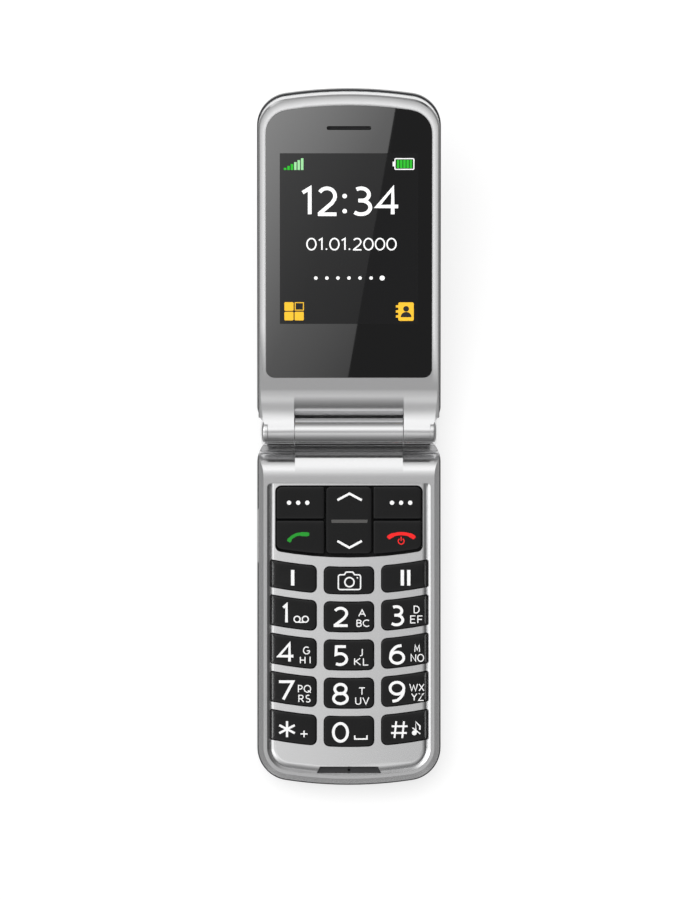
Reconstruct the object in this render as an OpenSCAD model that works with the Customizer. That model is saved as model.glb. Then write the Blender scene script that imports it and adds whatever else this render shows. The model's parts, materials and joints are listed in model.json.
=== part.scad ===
// Flip phone with large keys, opened and lying on its back. Millimetres, +Z up.
// The origin lies on the flat back, under the middle of the folded phone.
// The base runs toward -Y and the lid toward +Y. Both halves are drawn in a
// frame of their own: x across, y from the hinge axis to the far end, z toward
// the side with the keys or the display.

/* [Body] */
// Width of both halves
body_w = 53; // [51:0.5:55]
// Hinge axis to the far end of either half
half_len = 102.1; // [101:0.5:106]
// Radius of the bowed far ends
end_r = 120.1; // [100:0.1:140]
// Radius of the corners at the far ends
corner_r = 9.6; // [9:0.2:11]
// Thickness of the base
base_t = 11.5; // [11.3:0.1:12.5]
// Thickness of the lid
lid_t = 8.5; // [8.4:0.1:9.5]
// Gap between the folded halves
closed_gap = 0.5; // [0.3:0.1:0.8]
// Thickness of the outer walls
wall_t = 1.6; // [1.4:0.1:1.7]
// Height of the joint between the base's two shells
base_joint_z = 6.2; // [6.1:0.1:6.3]
// Depth of the joint between the lid's two shells, from its inner face
lid_joint = 4.3; // [4.2:0.1:4.5]
// How far the front shells stand back from the rear shells
shell_step = 0.35; // [0.2:0.05:0.4]
// Edge radius of the base's back
base_back_r = 4.5; // [3.5:0.25:4.75]
// Edge radius of the lid's outer face
lid_back_r = 3.6; // [3:0.2:3.8]
// Corner radius beside the hinge, base
base_hinge_r = 8.3; // [7:0.1:8.6]
// Corner radius beside the hinge, lid
lid_hinge_r = 6; // [5:0.2:7]
// Width of the sloping edge round the base's front
base_edge_w = 1.45; // [1:0.05:1.6]
// Width of the sloping edge round the lid's front
lid_edge_w = 0.45; // [0.3:0.05:0.8]

/* [Hinge] */
// Radius of the hinge barrel
barrel_r = 4.05; // [3.9:0.05:4.2]
// Half the length of the middle barrel
barrel_half = 15.6; // [14:0.2:17]
// Outer end of the lid's knuckles
knuckle_end = 23.5; // [22.5:0.1:23.8]
// Gap between the barrel and the knuckles
knuckle_gap = 0.25; // [0.15:0.05:0.4]
// Thickness of the caps on the knuckles
cap_t = 2.1; // [1.2:0.1:2.4]
// Room round the turning barrels
sweep_gap = 0.35; // [0.25:0.05:0.4]
// Bore of the barrel
barrel_bore_r = 3; // [2.9:0.05:3.1]
// Radial clearance of what turns in a bore
run_fit = 0.05; // [0.02:0.01:0.08]
// Angle between the opened halves
open_angle = 162.5; // [150:0.5:170]
// Distance of the halves' end walls from the axis
end_wall_y = 0.4; // [0.2:0.1:1]

/* [Keypad] */
// Height of the keypad plate's face above the back
plate_top = 11.1; // [10.9:0.05:11.2]
// Height of the keys' faces above the back
key_top = 11.4; // [11.3:0.05:11.5]
// Travel of a key
key_travel = 0.3; // [0.2:0.05:0.3]
// Clearance between a key and its opening
key_gap = 0.15; // [0.1:0.05:0.2]
// Half the width of a middle key
mid_key_half = 7.2; // [6.5:0.1:7.4]
// Inner edge of the side keys
side_key_in = 9.4; // [9.2:0.1:10]
// Margin between the side keys' outer edges and the body's side
side_key_margin = 3.8; // [3.8:0.1:4.2]
// Gap between two rows of number keys
row_gap = 2.37; // [2.1:0.03:3]
// Distance from the far end to the last row of keys
key_end = 11.11; // [11:0.01:13]
// Hinge axis to the first row of number keys
number_y = 49.2; // [49:0.1:49.6]
// Hinge axis to the row of memory keys
memory_y = 39.1; // [38.8:0.1:39.4]
// Length of a memory key
memory_h = 7.8; // [7.4:0.1:8]
// Hinge axis to the soft keys
soft_y = 15.75; // [15.6:0.05:16]
// Hinge axis to the far edge of the call keys
call_end_y = 35.6; // [35.2:0.1:35.8]
// Hinge axis to the gap between soft and call keys
soft_split_y = 25.4; // [24:0.1:27]
// Gap between neighbouring keys of the soft-key block
block_gap = 0.4; // [0.3:0.05:1]

/* [Display] */
// Border beside the display window
window_margin = 2.55; // [2.4:0.05:3.5]
// Hinge axis to the window's near edge
window_y = 16.4; // [16:0.1:18]
// Margin between the window and the far end
window_end = 3.64; // [3:0.1:4.5]
// Thickness of the window
window_t = 1; // [0.8:0.05:1.1]
// Margin between the window's sides and the display module
lcd_margin = 2.45; // [2:0.05:4]
// Distance from the far end to the display module
lcd_end = 16.6; // [16.5:0.1:20]
// Thickness of the display module
lcd_t = 2.2; // [1.8:0.1:2.2]
// Hinge axis to the display module
lcd_y = 28.5; // [28:0.5:31]
// Length of the earpiece slot
ear_slot_len = 12.9; // [8:0.1:15]
// Width of the earpiece slot
ear_slot_w = 1.16; // [0.8:0.02:1.5]

/* [Battery] */
// Distance from the base's side to the battery
battery_side = 9.5; // [9.3:0.1:12]
// Distance from the base's far end to the battery cover
cover_end = 17; // [17:0.1:20]
// Thickness of the battery
battery_t = 3.6; // [3.2:0.1:3.8]
// Thickness of the battery cover
cover_t = 1.2; // [1:0.05:1.3]

/* [Sockets] */
// Radius of the headset socket's bore
jack_r = 1.8; // [1.76:0.01:1.85]
// Length of the headset socket
jack_len = 12; // [11:0.5:12.5]
// Headset socket, distance from the body's side
jack_side = 13.5; // [12.5:0.5:14.5]
// Height of the sockets' axes above the back
socket_z = 3.9; // [3.8:0.05:4]

/* [Hidden] */

// Overlap that keeps a cut or a joined solid from ending on a face
eps = 0.05;
// Clearance between parts that are fitted and stay put
fit = 0.1;
round_fn = 64;
big_fn = 240;

half_w = body_w / 2;
axis_drop = closed_gap / 2;
hinge_z = base_t + axis_drop;
window_w = body_w - 2 * window_margin;
lcd_w = window_w - 2 * lcd_margin;
lcd_len = half_len - lcd_end - lcd_y;
hinge_y = (half_len - barrel_r) / 2;
lid_tilt = 180 - open_angle;
end_cy = half_len - end_r;
corner_x = half_w - corner_r;
corner_y = end_cy + sqrt(pow(end_r - corner_r, 2) - pow(corner_x, 2));
end_half_angle = asin(corner_x / (end_r - corner_r));
lid_in = -axis_drop;
lid_out = -axis_drop - lid_t;
lid_joint_z = lid_in - lid_joint;
knuckle_start = barrel_half + knuckle_gap;
sweep_r = barrel_r + sweep_gap;

// Slope from the keypad down to the hinge: a wide arc over the slope's angle and
// a tight one. Under the knuckles the tight arc starts sooner and is wider.
slope_y = 13.6;
slope_r = 19;
slope_angle = 18;
side_slope_angle = 6;
neck_z = hinge_z - 3;
shelf_z = hinge_z - sweep_r - 0.15;
// Lid's ramps up to its knuckles
ramp_y = 13.5;
ramp_r = 19.3;
ramp_angle = 34.5;
ramp_x = half_w - 1;
// The lip over the middle barrel leaves the ramp at this slope and clears the barrel
lip_angle = 8;
hinge_back_r = 3.5;

// Front shell: rim, ledge that carries the keypad plate, openings
rim_in = 2.75;
ledge_in = 3.65;
ledge_z = 9.2;
ledge_t = 1;
wall_in = shell_step + wall_t;
roof_y = 6.5;
plate_y = soft_y - 0.95;
plate_fit = 0.1;
plate_corner_r = 1.2;
pocket_z = 10;
opening_end_y = half_len - 9.8;
mic_slot_y = half_len - 5.35;
mic_slot_len = 2;
mic_slot_half = 8.5;
mic_slot_flare = 0.9;
mic_y = mic_slot_y + mic_slot_len / 2;
mic_r = 2;
mic_t = 1.5;
mic_neck_r = 0.9;
mic_bore_r = 0.4;
mic_boot_z = plate_top - 0.9;
// The plate and the side keys roll down toward the rim, then the plate rises again
roll_w = 1.7;
roll_drop = 0.55;
groove_rise = 0.45;

// Keys, mat, domes and board stand on each other from the board up
board_t = 1;
board_z = 6.55;
board_top = board_z + board_t;
board_y = 11.8;
board_end_y = half_len - 9.6;
plug_x = 3;
plug_w = 9;
plug_len = 2.4;
plug_h = 1;
board_half = half_w - 3.9;
dome_t = 0.1;
dome_h = 0.35;
dome_r = 2.2;
mat_z = 8.25;
mat_t = 0.3;
pad_h = 0.35;
key_z = ledge_z + 0.05;
key_h = (half_len - key_end - number_y + row_gap) / 4 - row_gap;
row_pitch = key_h + row_gap;
flange_t = 0.5;
flange_w = 0.35;
crown_drop = 0.04;
crown_edge = 0.3;
crown_in = 0.3;
crown_w = 0.5;
key_r = 1.7;
key_out_r = 0.45;
side_key_out = half_w - side_key_margin;
block_out = half_w - 5.15;
block_end_y = call_end_y + 0.75;
block_top_y = soft_y - 0.3;
block_r = 1.8;
nav_half = 6.65;
nav_end_y = call_end_y - 0.3;
block_key_in = nav_half + block_gap;
block_key_out = block_out - 0.35;
nav_corner_r = 1.45;
nav_groove = [5.4, 1.15, 0.15];
nav_axis_z = 9.3;
nav_ridge_r = 0.35;
number_columns = [-1, 0, 1];

// Rear shell, battery bay and cover
floor_t = wall_t;
battery_w = body_w - 2 * battery_side;
battery_fit = 0.5;
bay_half = battery_w / 2 + 0.3;
bay_y = 33;
bay_end_in = 4;
bay_len = half_len - cover_end - bay_end_in - bay_y;
battery_len = bay_len - 2 * battery_fit;
bay_wall = 1;
bay_roof_z = 5.4;
cover_margin = 2.2;
cover_y = bay_y - 2.5;
cover_end_y = half_len - cover_end;
cover_half = bay_half + cover_margin;
cover_gap = 0.15;
cover_corner_r = 3;
grip_half = 6;
bay_floor_t = 2.6;
battery_z = cover_t + 0.3;
sim_x = 0;
sim_y = 44;
sim_card_w = 15;
sim_card_t = 0.8;
sim_side = 1;
sim_sheet_t = 0.12;
sim_w = sim_card_w + 2 * sim_side;
sim_len = 20;

// Screws
screw_r = 0.8;
screw_head_r = 1.4;
screw_head_t = 0.8;
boss_r = 2.2;
base_screw_head_z = 3.2;
base_screw_places = [[half_w - 6.2, 9.4], [half_w - 7.2, half_len - 6.8]];
lid_screw_places = [[half_w - 5.9, 20.5], [half_w - 7.9, half_len - 8.2]];

// Parts in the base
speaker_x = -8.5;
speaker_y = 20;
speaker_w = 18;
speaker_len = 12.5;
speaker_t = 3.2;
sos_x = 13;
sos_y = 20.5;
sos_r = 4.5;
sos_recess = 0.4;
motor_r = 4;
motor_t = 2.7;
motor_x = 15.5 - half_w;
motor_y = half_len - 8.6;
shield_t = 0.2;
shield_h = 1.4;
shield_side = 2;
usb_w = 7.6;
usb_h = 2.7;
usb_len = 6;
rocker_y = 30;
rocker_len = 16;
rocker_h = 2.1;
rocker_z = 6.55;
rocker_gap = 0.2;
rocker_flange = 0.6;
rocker_in = 0.1;
rocker_depth = 2.3;
rocker_pin_r = 0.3;
rocker_x = -half_w + wall_in + 0.65;

// Headset socket; its inner end stays clear of the battery cover's frame
jack_x = half_w - jack_side;
jack_half = 3;

// Parts in the lid
glass_fit = 0.08;
glass_sink = 0.1;
glass_back = lid_in - glass_sink - window_t;
bezel_t = 0.8;
bezel_back = glass_back - fit / 2 - bezel_t;
lcd_front = glass_back - 0.15;
lcd_back = lcd_front - lcd_t;
lid_board_t = 0.8;
lid_board_z = lcd_back - 0.35 - lid_board_t;
lid_floor = lid_out + wall_t;
lid_board_half = lcd_w / 2 - 4;
lid_board_y = 17.5;
lid_board_over = 2;
ear_y = half_len - 10.4;
ear_body_len = ear_slot_len + fit;
ear_body_w = 6.4;
ear_body_t = 2.3;
ear_body_r = 2.6;
camera_y = 22.5;
camera_r = 3;
camera_window_r = 4.4;
camera_window_t = 0.7;

module in_base() translate([0, hinge_y, 0]) mirror([0, 1, 0]) children();

module in_lid() translate([0, hinge_y, hinge_z]) rotate([lid_tilt, 0, 0]) children();

// ---------- outlines ----------

function unit(v) = v / norm(v);

// Closed outline with each corner rounded to its own radius
function rounded(points, radii, steps = 5) = [
    for (i = [0 : len(points) - 1])
        let (
            n = len(points),
            p = points[i],
            a = unit(points[(i + n - 1) % n] - p),
            b = unit(points[(i + 1) % n] - p),
            r = radii[i]
        )
        each r <= 0 ? [p] :
            let (
                half = acos(a * b) / 2,
                c = p + unit(a + b) * r / sin(half),
                v0 = p + a * r / tan(half) - c,
                v1 = p + b * r / tan(half) - c,
                from = atan2(v0[1], v0[0]),
                turn = (atan2(v1[1], v1[0]) - from + 540) % 360 - 180
            )
            [for (k = [0 : steps]) c + r * [cos(from + turn * k / steps), sin(from + turn * k / steps)]]
];

function rounded_box(x0, y0, x1, y1, r, steps = 5) =
    rounded([[x0, y0], [x1, y0], [x1, y1], [x0, y1]], [r, r, r, r], steps);

// Outline of a half from y0 to its bowed end, set in from the sides and the end
function half_outline(side_in, end_in, y0, far_r, near_r = 0.6, arc_steps = 8) =
    let (
        side = half_w - side_in,
        r = end_r - end_in,
        arc_x = side - far_r,
        arc = [for (k = [0 : arc_steps]) arc_x * (1 - 2 * k / arc_steps)]
    )
    rounded(
        concat(
            [[-side, y0], [side, y0], [side, end_cy + sqrt(r * r - side * side)]],
            [for (x = arc) [x, end_cy + sqrt(r * r - x * x)]],
            [[-side, end_cy + sqrt(r * r - side * side)]]
        ),
        concat([near_r, near_r, far_r], [for (x = arc) 0], [far_r]),
        8
    );

module half_prism(side_in, y0, z0, z1, near_r = 0.6)
    translate([0, 0, z0]) linear_extrude(z1 - z0)
        polygon(half_outline(side_in, side_in, y0, corner_r - side_in, near_r));

// ---------- swept body forms ----------

// Sweeps a child profile round the sides, corners and far end. The profile's x
// is the distance in from the outline, its y the height, and $depth its width.
// The tie is a point of the profile, inside the wall, where corner and end join.
module swept_half(y0, z0, z1, tie) {
    for (side = [0, 1]) mirror([side, 0, 0]) {
        translate([half_w, corner_y, 0]) rotate([90, 0, 0])
            linear_extrude(corner_y - y0) mirror([1, 0]) let ($depth = corner_r) children();
        difference() {
            translate([corner_x, corner_y, 0]) rotate_extrude(angle = 90, $fn = round_fn)
                translate([corner_r, 0]) mirror([1, 0]) let ($depth = corner_r - 0.1) children();
            end_sector(z0 - 1, z1 + 1);
        }
        translate([corner_x, corner_y, tie[1]]) rotate([0, 0, -end_half_angle])
            translate([0, corner_r - tie[0], 0]) cube([0.8, 0.5, 0.8], center = true);
    }
    intersection() {
        translate([0, end_cy, 0]) rotate_extrude($fn = big_fn)
            translate([end_r, 0]) mirror([1, 0]) let ($depth = corner_r + 12) children();
        end_sector(z0 - 1, z1 + 1);
    }
    translate([-corner_x - 1, y0, z0]) cube([2 * corner_x + 2, corner_y + 0.5 - y0, z1 - z0]);
}

// Sector of the far end between the centres of its corners
module end_sector(z0, z1) translate([0, 0, z0]) linear_extrude(z1 - z0)
    polygon([[0, end_cy], [2 * corner_x, 2 * corner_y - end_cy], [-2 * corner_x, 2 * corner_y - end_cy]]);

// Profile with a rounded lower edge, for the rear shells
module rear_profile(z0, z1, r) difference() {
    translate([0, z0]) square([$depth, z1 - z0]);
    difference() {
        translate([-1, z0 - 1]) square(r + 1);
        translate([r, z0 + r]) circle(r, $fn = round_fn);
    }
}

// Profile with a sloping upper edge, for the front shells
module front_profile(z0, z1, edge)
    polygon([[shell_step, z0], [shell_step, z1 - edge * 1.1], [shell_step + edge, z1],
             [$depth, z1], [$depth, z0]]);

// Cuts the upright corners at (x, y) and its mirror image to a radius
module near_corner_cut(x, y, r, z0, z1)
    for (side = [0, 1]) mirror([side, 0, 0]) difference() {
        translate([x - r, y - 1, z0]) cube([r + 1, r + 1, z1 - z0]);
        translate([x - r + 0.01, y + r - 0.01, z0 - 1]) cylinder(r = r, h = z1 - z0 + 2, $fn = round_fn);
    }

module hinge_corner_cut(r, z0, z1) near_corner_cut(half_w, end_wall_y, r, z0, z1);

// Extrudes a child drawn in (y, z) across the half, from x0 to x1
module across(x0, x1) translate([x0, 0, 0]) rotate([90, 0, 90]) linear_extrude(x1 - x0) children();

// Rounds the lower edge of the end wall at height z0
module end_wall_cut(z0, r) across(-half_w - 1, half_w + 1) difference() {
    translate([end_wall_y - 1, z0 - 1]) square(r + 1);
    translate([end_wall_y + r - 0.01, z0 + r - 0.01]) circle(r, $fn = round_fn);
}

// ---------- base shells ----------

function arc(c, r, from, to, steps) =
    [for (k = [0 : steps]) let (t = from + (to - from) * k / steps) c + r * [cos(t), sin(t)]];

// Side view of what the slope and the shelf under the knuckles leave free
module over_slope_view(angle) {
    nose_r = (slope_y - slope_r * sin(angle) - sweep_r) / (1 - sin(angle));
    c1 = [slope_y, base_t - slope_r];
    c2 = c1 + (slope_r - nose_r) * [-sin(angle), cos(angle)];
    shelf_angle = 180 - asin((shelf_z - c2[1]) / nose_r);
    polygon(concat(
        [[slope_y, 2 * base_t]],
        arc(c1, slope_r, 90, 90 + angle, 8),
        arc(c2, nose_r, 90 + angle + 4, shelf_angle, 14),
        [[end_wall_y - 1, shelf_z], [end_wall_y - 1, 2 * base_t]]
    ));
}

module barrel_body() {
    across(-barrel_half, barrel_half)
        polygon([[end_wall_y, base_joint_z], [end_wall_y, neck_z], [roof_y + 1, neck_z],
                 [roof_y + 1, base_joint_z]]);
    translate([-barrel_half, 0, hinge_z]) rotate([0, 90, 0])
        cylinder(r = barrel_r, h = 2 * barrel_half, $fn = big_fn);
}

// Way of the ribbon cable from the barrel's bore into the base
module flex_way(x0, x1) {
    translate([x0, 1.2, shelf_z + 0.2]) cube([x1 - x0, 0.8, 2]);
    translate([x0, 1.2, shelf_z + 0.2]) cube([x1 - x0, roof_y, 0.6]);
}

flex_x0 = -12;
flex_x1 = -5.5;
// Outer end of the cable's roll, in the left knuckle
flex_roll_x0 = -knuckle_end + 2;

module base_front_shell() color("silver") in_base() difference() {
    union() {
        difference() {
            swept_half(end_wall_y, base_joint_z, base_t, [shell_step + wall_t / 2, base_joint_z + 0.8])
                front_profile(base_joint_z, base_t, base_edge_w);
            across(-half_w - 1, half_w + 1) over_slope_view(slope_angle);
            for (side = [0, 1]) mirror([side, 0, 0])
                across(barrel_half, half_w + 1) over_slope_view(side_slope_angle);
        }
        barrel_body();
    }
    difference() {
        hinge_corner_cut(base_hinge_r, base_joint_z - 1, base_t + 1);
        translate([-barrel_half, -barrel_r, 0]) cube([2 * barrel_half, 2 * barrel_r, 2 * base_t]);
    }
    // inside, from the joint up to the ledge
    difference() {
        half_prism(wall_in, roof_y, base_joint_z - 1, ledge_z - ledge_t, 3);
        base_bosses(base_joint_z - 2, ledge_z);
    }
    base_boss_holes(base_joint_z - 1, ledge_z + 0.3);
    half_prism(rim_in, plate_y, ledge_z, base_t + 1, plate_corner_r + plate_fit);
    intersection() {
        half_prism(ledge_in, plate_y + 0.3, ledge_z - ledge_t - 1, ledge_z + 1, plate_corner_r);
        translate([-half_w, 0, 0]) cube([body_w, opening_end_y, base_t]);
    }
    translate([0, mic_y, ledge_z - ledge_t - 1]) cylinder(r = mic_neck_r + fit, h = 3, $fn = round_fn);
    // barrel bores, the left one with the way of the ribbon cable
    translate([4, 0, hinge_z]) rotate([0, 90, 0])
        cylinder(r = barrel_bore_r, h = barrel_half, $fn = round_fn);
    translate([-4 - barrel_half, 0, hinge_z]) rotate([0, 90, 0])
        cylinder(r = barrel_bore_r, h = barrel_half, $fn = round_fn);
    flex_way(flex_x0, flex_x1);
    // side opening for the volume rocker
    translate([-half_w - 1, rocker_y - rocker_len / 2 - rocker_gap, rocker_z - rocker_gap])
        cube([wall_in + 1.9, rocker_len + 2 * rocker_gap, rocker_h + 2 * rocker_gap]);
}

module base_bosses(z0, z1)
    for (p = base_screw_places, side = [-1, 1])
        translate([side * p[0], p[1], z0]) cylinder(r = boss_r, h = z1 - z0, $fn = round_fn);

module base_boss_holes(z0, z1)
    for (p = base_screw_places, side = [-1, 1])
        translate([side * p[0], p[1], z0]) cylinder(r = screw_r, h = z1 - z0, $fn = round_fn);

module base_screws() color("dimgray") in_base()
    for (p = base_screw_places, side = [-1, 1]) translate([side * p[0], p[1], 0]) {
        translate([0, 0, base_screw_head_z]) difference() {
            cylinder(r = screw_head_r, h = screw_head_t, $fn = round_fn);
            translate([0, 0, -1]) cylinder(r = 0.6, h = 1.4, $fn = 6);
        }
        translate([0, 0, base_screw_head_z + screw_head_t - eps])
            cylinder(r = screw_r - run_fit, h = ledge_z - base_screw_head_z - screw_head_t, $fn = round_fn);
    }

module cover_outline(grow, z0, z1)
    translate([0, 0, z0]) linear_extrude(z1 - z0)
        polygon(rounded_box(-cover_half - grow, cover_y - grow, cover_half + grow,
                            cover_end_y + grow, cover_corner_r + grow, 8));

module base_rear_shell() color("#26282b") in_base() difference() {
    union() {
        difference() {
            swept_half(end_wall_y, 0, base_joint_z, [wall_t / 2, base_joint_z - 0.8])
                rear_profile(0, base_joint_z, base_back_r);
            half_prism(wall_in, end_wall_y + wall_t, floor_t, base_joint_z + 1, 3);
        }
        // frame round the battery bay, its walls and its roof
        cover_outline(1.2, floor_t - eps, bay_floor_t);
        translate([-bay_half - bay_wall, bay_y - bay_wall, floor_t - eps])
            cube([2 * (bay_half + bay_wall), bay_len + 2 * bay_wall, base_joint_z - floor_t + eps]);
        base_bosses(floor_t - eps, base_joint_z);
        rear_ribs();
        // guide ring of the emergency key
        translate([sos_x, sos_y, floor_t - eps]) cylinder(r = sos_r + 1.6, h = 0.6, $fn = round_fn);
    }
    hinge_corner_cut(base_hinge_r, -1, base_joint_z + 1);
    end_wall_cut(0, hinge_back_r);
    cover_outline(cover_gap, -1, cover_t + 0.05);
    translate([-bay_half, bay_y, -1]) cube([2 * bay_half, bay_len, bay_roof_z + 1]);
    // window in the bay's roof for the SIM card holder
    translate([sim_x - sim_w / 2 - fit, sim_y - fit, bay_roof_z - 1])
        cube([sim_w + 2 * fit, sim_len + 2 * fit, 3]);
    // seat of the battery contacts
    translate([-4.2, bay_y - bay_wall - 1, bay_floor_t]) cube([8.4, bay_wall + 2, 2.7]);
    for (p = base_screw_places, side = [-1, 1]) translate([side * p[0], p[1], -1]) {
        cylinder(r = screw_head_r + fit, h = base_screw_head_z + screw_head_t + 1, $fn = round_fn);
        cylinder(r = screw_r + fit, h = base_joint_z + 2, $fn = round_fn);
    }
    // sound slots of the loudspeaker
    for (k = [-2 : 2])
        translate([speaker_x - 5, speaker_y + k * 1.8, -1])
            linear_extrude(floor_t + 2) polygon(rounded_box(0, -0.4, 10, 0.4, 0.38));
    translate([sos_x, sos_y, -1]) cylinder(r = sos_r + key_gap, h = floor_t + 3, $fn = round_fn);
    translate([sos_x, sos_y, floor_t + fit]) cylinder(r = sos_r + 0.95, h = 3, $fn = round_fn);
    // mouths of the sockets in the far wall
    translate([jack_x, half_len + 1, socket_z]) rotate([90, 0, 0])
        cylinder(r = jack_r + 0.2, h = corner_r, $fn = round_fn);
    translate([-usb_w / 2 - 0.2, half_len - corner_r / 2, socket_z - usb_h / 2 - 0.2])
        cube([usb_w + 0.4, corner_r, usb_h + 0.4]);
}

// Ribs that carry the main board and stiffen the back
module rear_ribs() {
    rib_t = 0.8;
    for (y = [board_y + 1, bay_y - 6])
        translate([-half_w + wall_in + 1.5, y, floor_t - eps]) difference() {
            cube([body_w - 2 * wall_in - 3, rib_t, board_z - floor_t + eps]);
            translate([6, -1, -1]) cube([body_w - 2 * wall_in - 15, rib_t + 2, base_t]);
        }
    for (side = [-1, 1])
        translate([side * (bay_half + 3) - rib_t / 2, bay_y, floor_t - eps])
            cube([rib_t, bay_len, board_z - floor_t + eps]);
}

module battery_cover() color("#26282b") in_base() difference() {
    union() {
        cover_outline(0, 0, cover_t);
        // rim that locates the cover in the bay's mouth
        translate([0, 0, cover_t - eps]) linear_extrude(0.25 + eps)
            polygon(rounded_box(-bay_half + 0.4, bay_y + 0.4, bay_half - 0.4, bay_y + bay_len - 0.4, 1));
    }
    // thumbnail notch and grip grooves
    translate([0, cover_end_y + 1.2, -1.6]) cylinder(r = 3.4, h = 2.1, $fn = round_fn);
    for (k = [0 : 3])
        translate([-grip_half, cover_end_y - 5 - 1.6 * k, -1]) linear_extrude(1.25)
            polygon(rounded_box(0, -0.35, 2 * grip_half, 0.35, 0.33));
}

// ---------- keypad ----------

// How far the bowed rows fall back at x
function sag(x) = end_r - sqrt(end_r * end_r - x * x);

// Key between x0 and x1 whose edges follow the bow; grow widens it all round
function key_outline(x0, x1, y0, y1, left_r, right_r, grow = 0) =
    let (
        a = max(x0 - grow, -side_key_out),
        b = min(x1 + grow, side_key_out),
        m = (b - a) / 3,
        near = [for (k = [0 : 3]) [a + k * m, y0 - grow - sag(a + k * m)]],
        far = [for (k = [3 : -1 : 0]) [a + k * m, y1 + grow - sag(a + k * m)]],
        lr = max(left_r + grow, 0.1),
        rr = max(right_r + grow, 0.1)
    )
    rounded(concat(near, far), [lr, 0, 0, rr, rr, 0, 0, lr], 4);

// Solid through outlines of equal point count at rising heights
module loft(rings, heights) {
    n = len(rings[0]);
    top = len(rings) - 1;
    polyhedron(
        [for (i = [0 : top], p = rings[i]) [p[0], p[1], heights[i]]],
        concat(
            [[for (k = [0 : n - 1]) k]],
            [for (i = [0 : top - 1], k = [0 : n - 1])
                [i * n + k, (i + 1) * n + k, (i + 1) * n + (k + 1) % n, i * n + (k + 1) % n]],
            [[for (k = [n - 1 : -1 : 0]) top * n + k]]
        )
    );
}

// Insets and heights of the rings of a keycap: its wall, bevelled edge and crown
crown_insets = [0, 0, crown_in, crown_in + crown_w];
module crowned(rings)
    loft(rings, [key_z, key_top - crown_drop - crown_edge, key_top - crown_drop, key_top]);

// Height that the side keys and the plate have lost at a distance into the roll
function roll_at(d) = roll_drop * pow(d / roll_w, 2);

// Keycap with a bevelled face and the flange that holds it under the plate
module keycap(x0, x1, y0, y1, left_r = key_r, right_r = key_r) {
    crowned([for (inset = crown_insets)
        key_outline(x0 + inset, x1 - inset, y0 + inset, y1 - inset, left_r - inset, right_r - inset)]);
    translate([0, 0, key_z]) linear_extrude(flange_t)
        polygon(key_outline(x0, x1, y0, y1, left_r, right_r, flange_w));
}

// Rolls the faces of the keys in one side column down to their outer edge
module side_roll_cut(column)
    mirror([column < 0 ? 1 : 0, 0, 0]) translate([side_key_out - roll_w, half_len, 0]) rotate([90, 0, 0])
        linear_extrude(half_len) polygon(concat(
            [[0, key_top + 1]],
            [for (k = [0 : 6]) let (d = roll_w * k / 6) [d, key_top - roll_at(d)]],
            [[roll_w + 1, key_top - roll_drop], [roll_w + 1, key_top + 1]]
        ));

function column_x0(column) = column == 0 ? -mid_key_half : column < 0 ? -side_key_out : side_key_in;
function column_x1(column) = column == 0 ? mid_key_half : column < 0 ? -side_key_in : side_key_out;
function left_r(column) = column < 0 ? key_out_r : key_r;
function right_r(column) = column > 0 ? key_out_r : key_r;

module grid_key(column, y0, h) color("#1a1b1d") in_base() difference() {
    keycap(column_x0(column), column_x1(column), y0, y0 + h, left_r(column), right_r(column));
    if (column != 0) side_roll_cut(column);
}

module number_key(column, row) grid_key(column, number_y + row * row_pitch, key_h);

module memory_key(column) grid_key(column, memory_y, memory_h);

// Rounded opening for the whole soft-key block
function block_outline(grow) = rounded(
    concat(
        [[-block_out - grow, block_top_y - grow], [block_out + grow, block_top_y - grow]],
        [for (k = [4 : -1 : -4])
            let (x = k / 4 * (block_out + grow)) [x, block_end_y + grow - sag(x)]]
    ),
    concat([block_r, block_r, block_r], [for (k = [1 : 7]) 0], [block_r]), 5);

// Key at one side of the block, with the flange that holds it under the plate
module block_key(side, y0, y1) color("#1a1b1d") in_base() mirror([side < 0 ? 1 : 0, 0, 0]) {
    children();
    translate([block_key_in + 2, y0 + 1.5, key_z])
        cube([block_out + flange_w - block_key_in - 2, y1 - y0 - 3, flange_t]);
}

module soft_key(side) {
    y1 = soft_split_y - block_gap / 2;
    block_key(side, soft_y, y1)
        crowned([for (inset = crown_insets)
            rounded(
                [[block_key_in + inset, soft_y + inset], [block_key_out - inset, soft_y + inset],
                 [block_key_out - inset, y1 - inset], [block_key_in + inset, y1 - inset]],
                [0.5, key_r, 0.5, 0.5], 4)]);
}

// Far keys of the block, whose far edge follows the bow
module call_key_at(side) {
    y0 = soft_split_y + block_gap / 2;
    xs = [block_key_out, (block_key_in + block_key_out) / 2, block_key_in];
    block_key(side, y0, call_end_y - sag(block_key_out))
        crowned([for (inset = crown_insets)
            rounded(
                concat(
                    [[block_key_in + inset, y0 + inset], [block_key_out - inset, y0 + inset]],
                    [for (k = [0 : 2]) [xs[k] + inset * (k - 1), call_end_y - inset - sag(xs[k])]]
                ),
                [0.5, max(0.5 - inset, 0.2), key_r - inset, 0, 0.5], 4)]);
}

// Rocking key with a groove across its face, a tab under the plate and the
// ridge that it rocks on
module nav_key() color("#1a1b1d") in_base() {
    mid_y = (soft_y + nav_end_y) / 2;
    difference() {
        crowned([for (inset = crown_insets)
            rounded_box(-nav_half + inset, soft_y + inset, nav_half - inset, nav_end_y - inset, nav_corner_r, 4)]);
        translate([-nav_groove[0], mid_y - nav_groove[1] / 2, key_top - nav_groove[2]])
            cube([2 * nav_groove[0], nav_groove[1], 1]);
    }
    translate([-nav_half / 2, nav_end_y - 2, key_z])
        cube([nav_half, block_end_y + flange_w - nav_end_y + 2, 0.3]);
    translate([-nav_half / 2, mid_y, nav_axis_z]) rotate([0, 90, 0])
        cylinder(r = nav_ridge_r, h = nav_half, $fn = round_fn);
}

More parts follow.
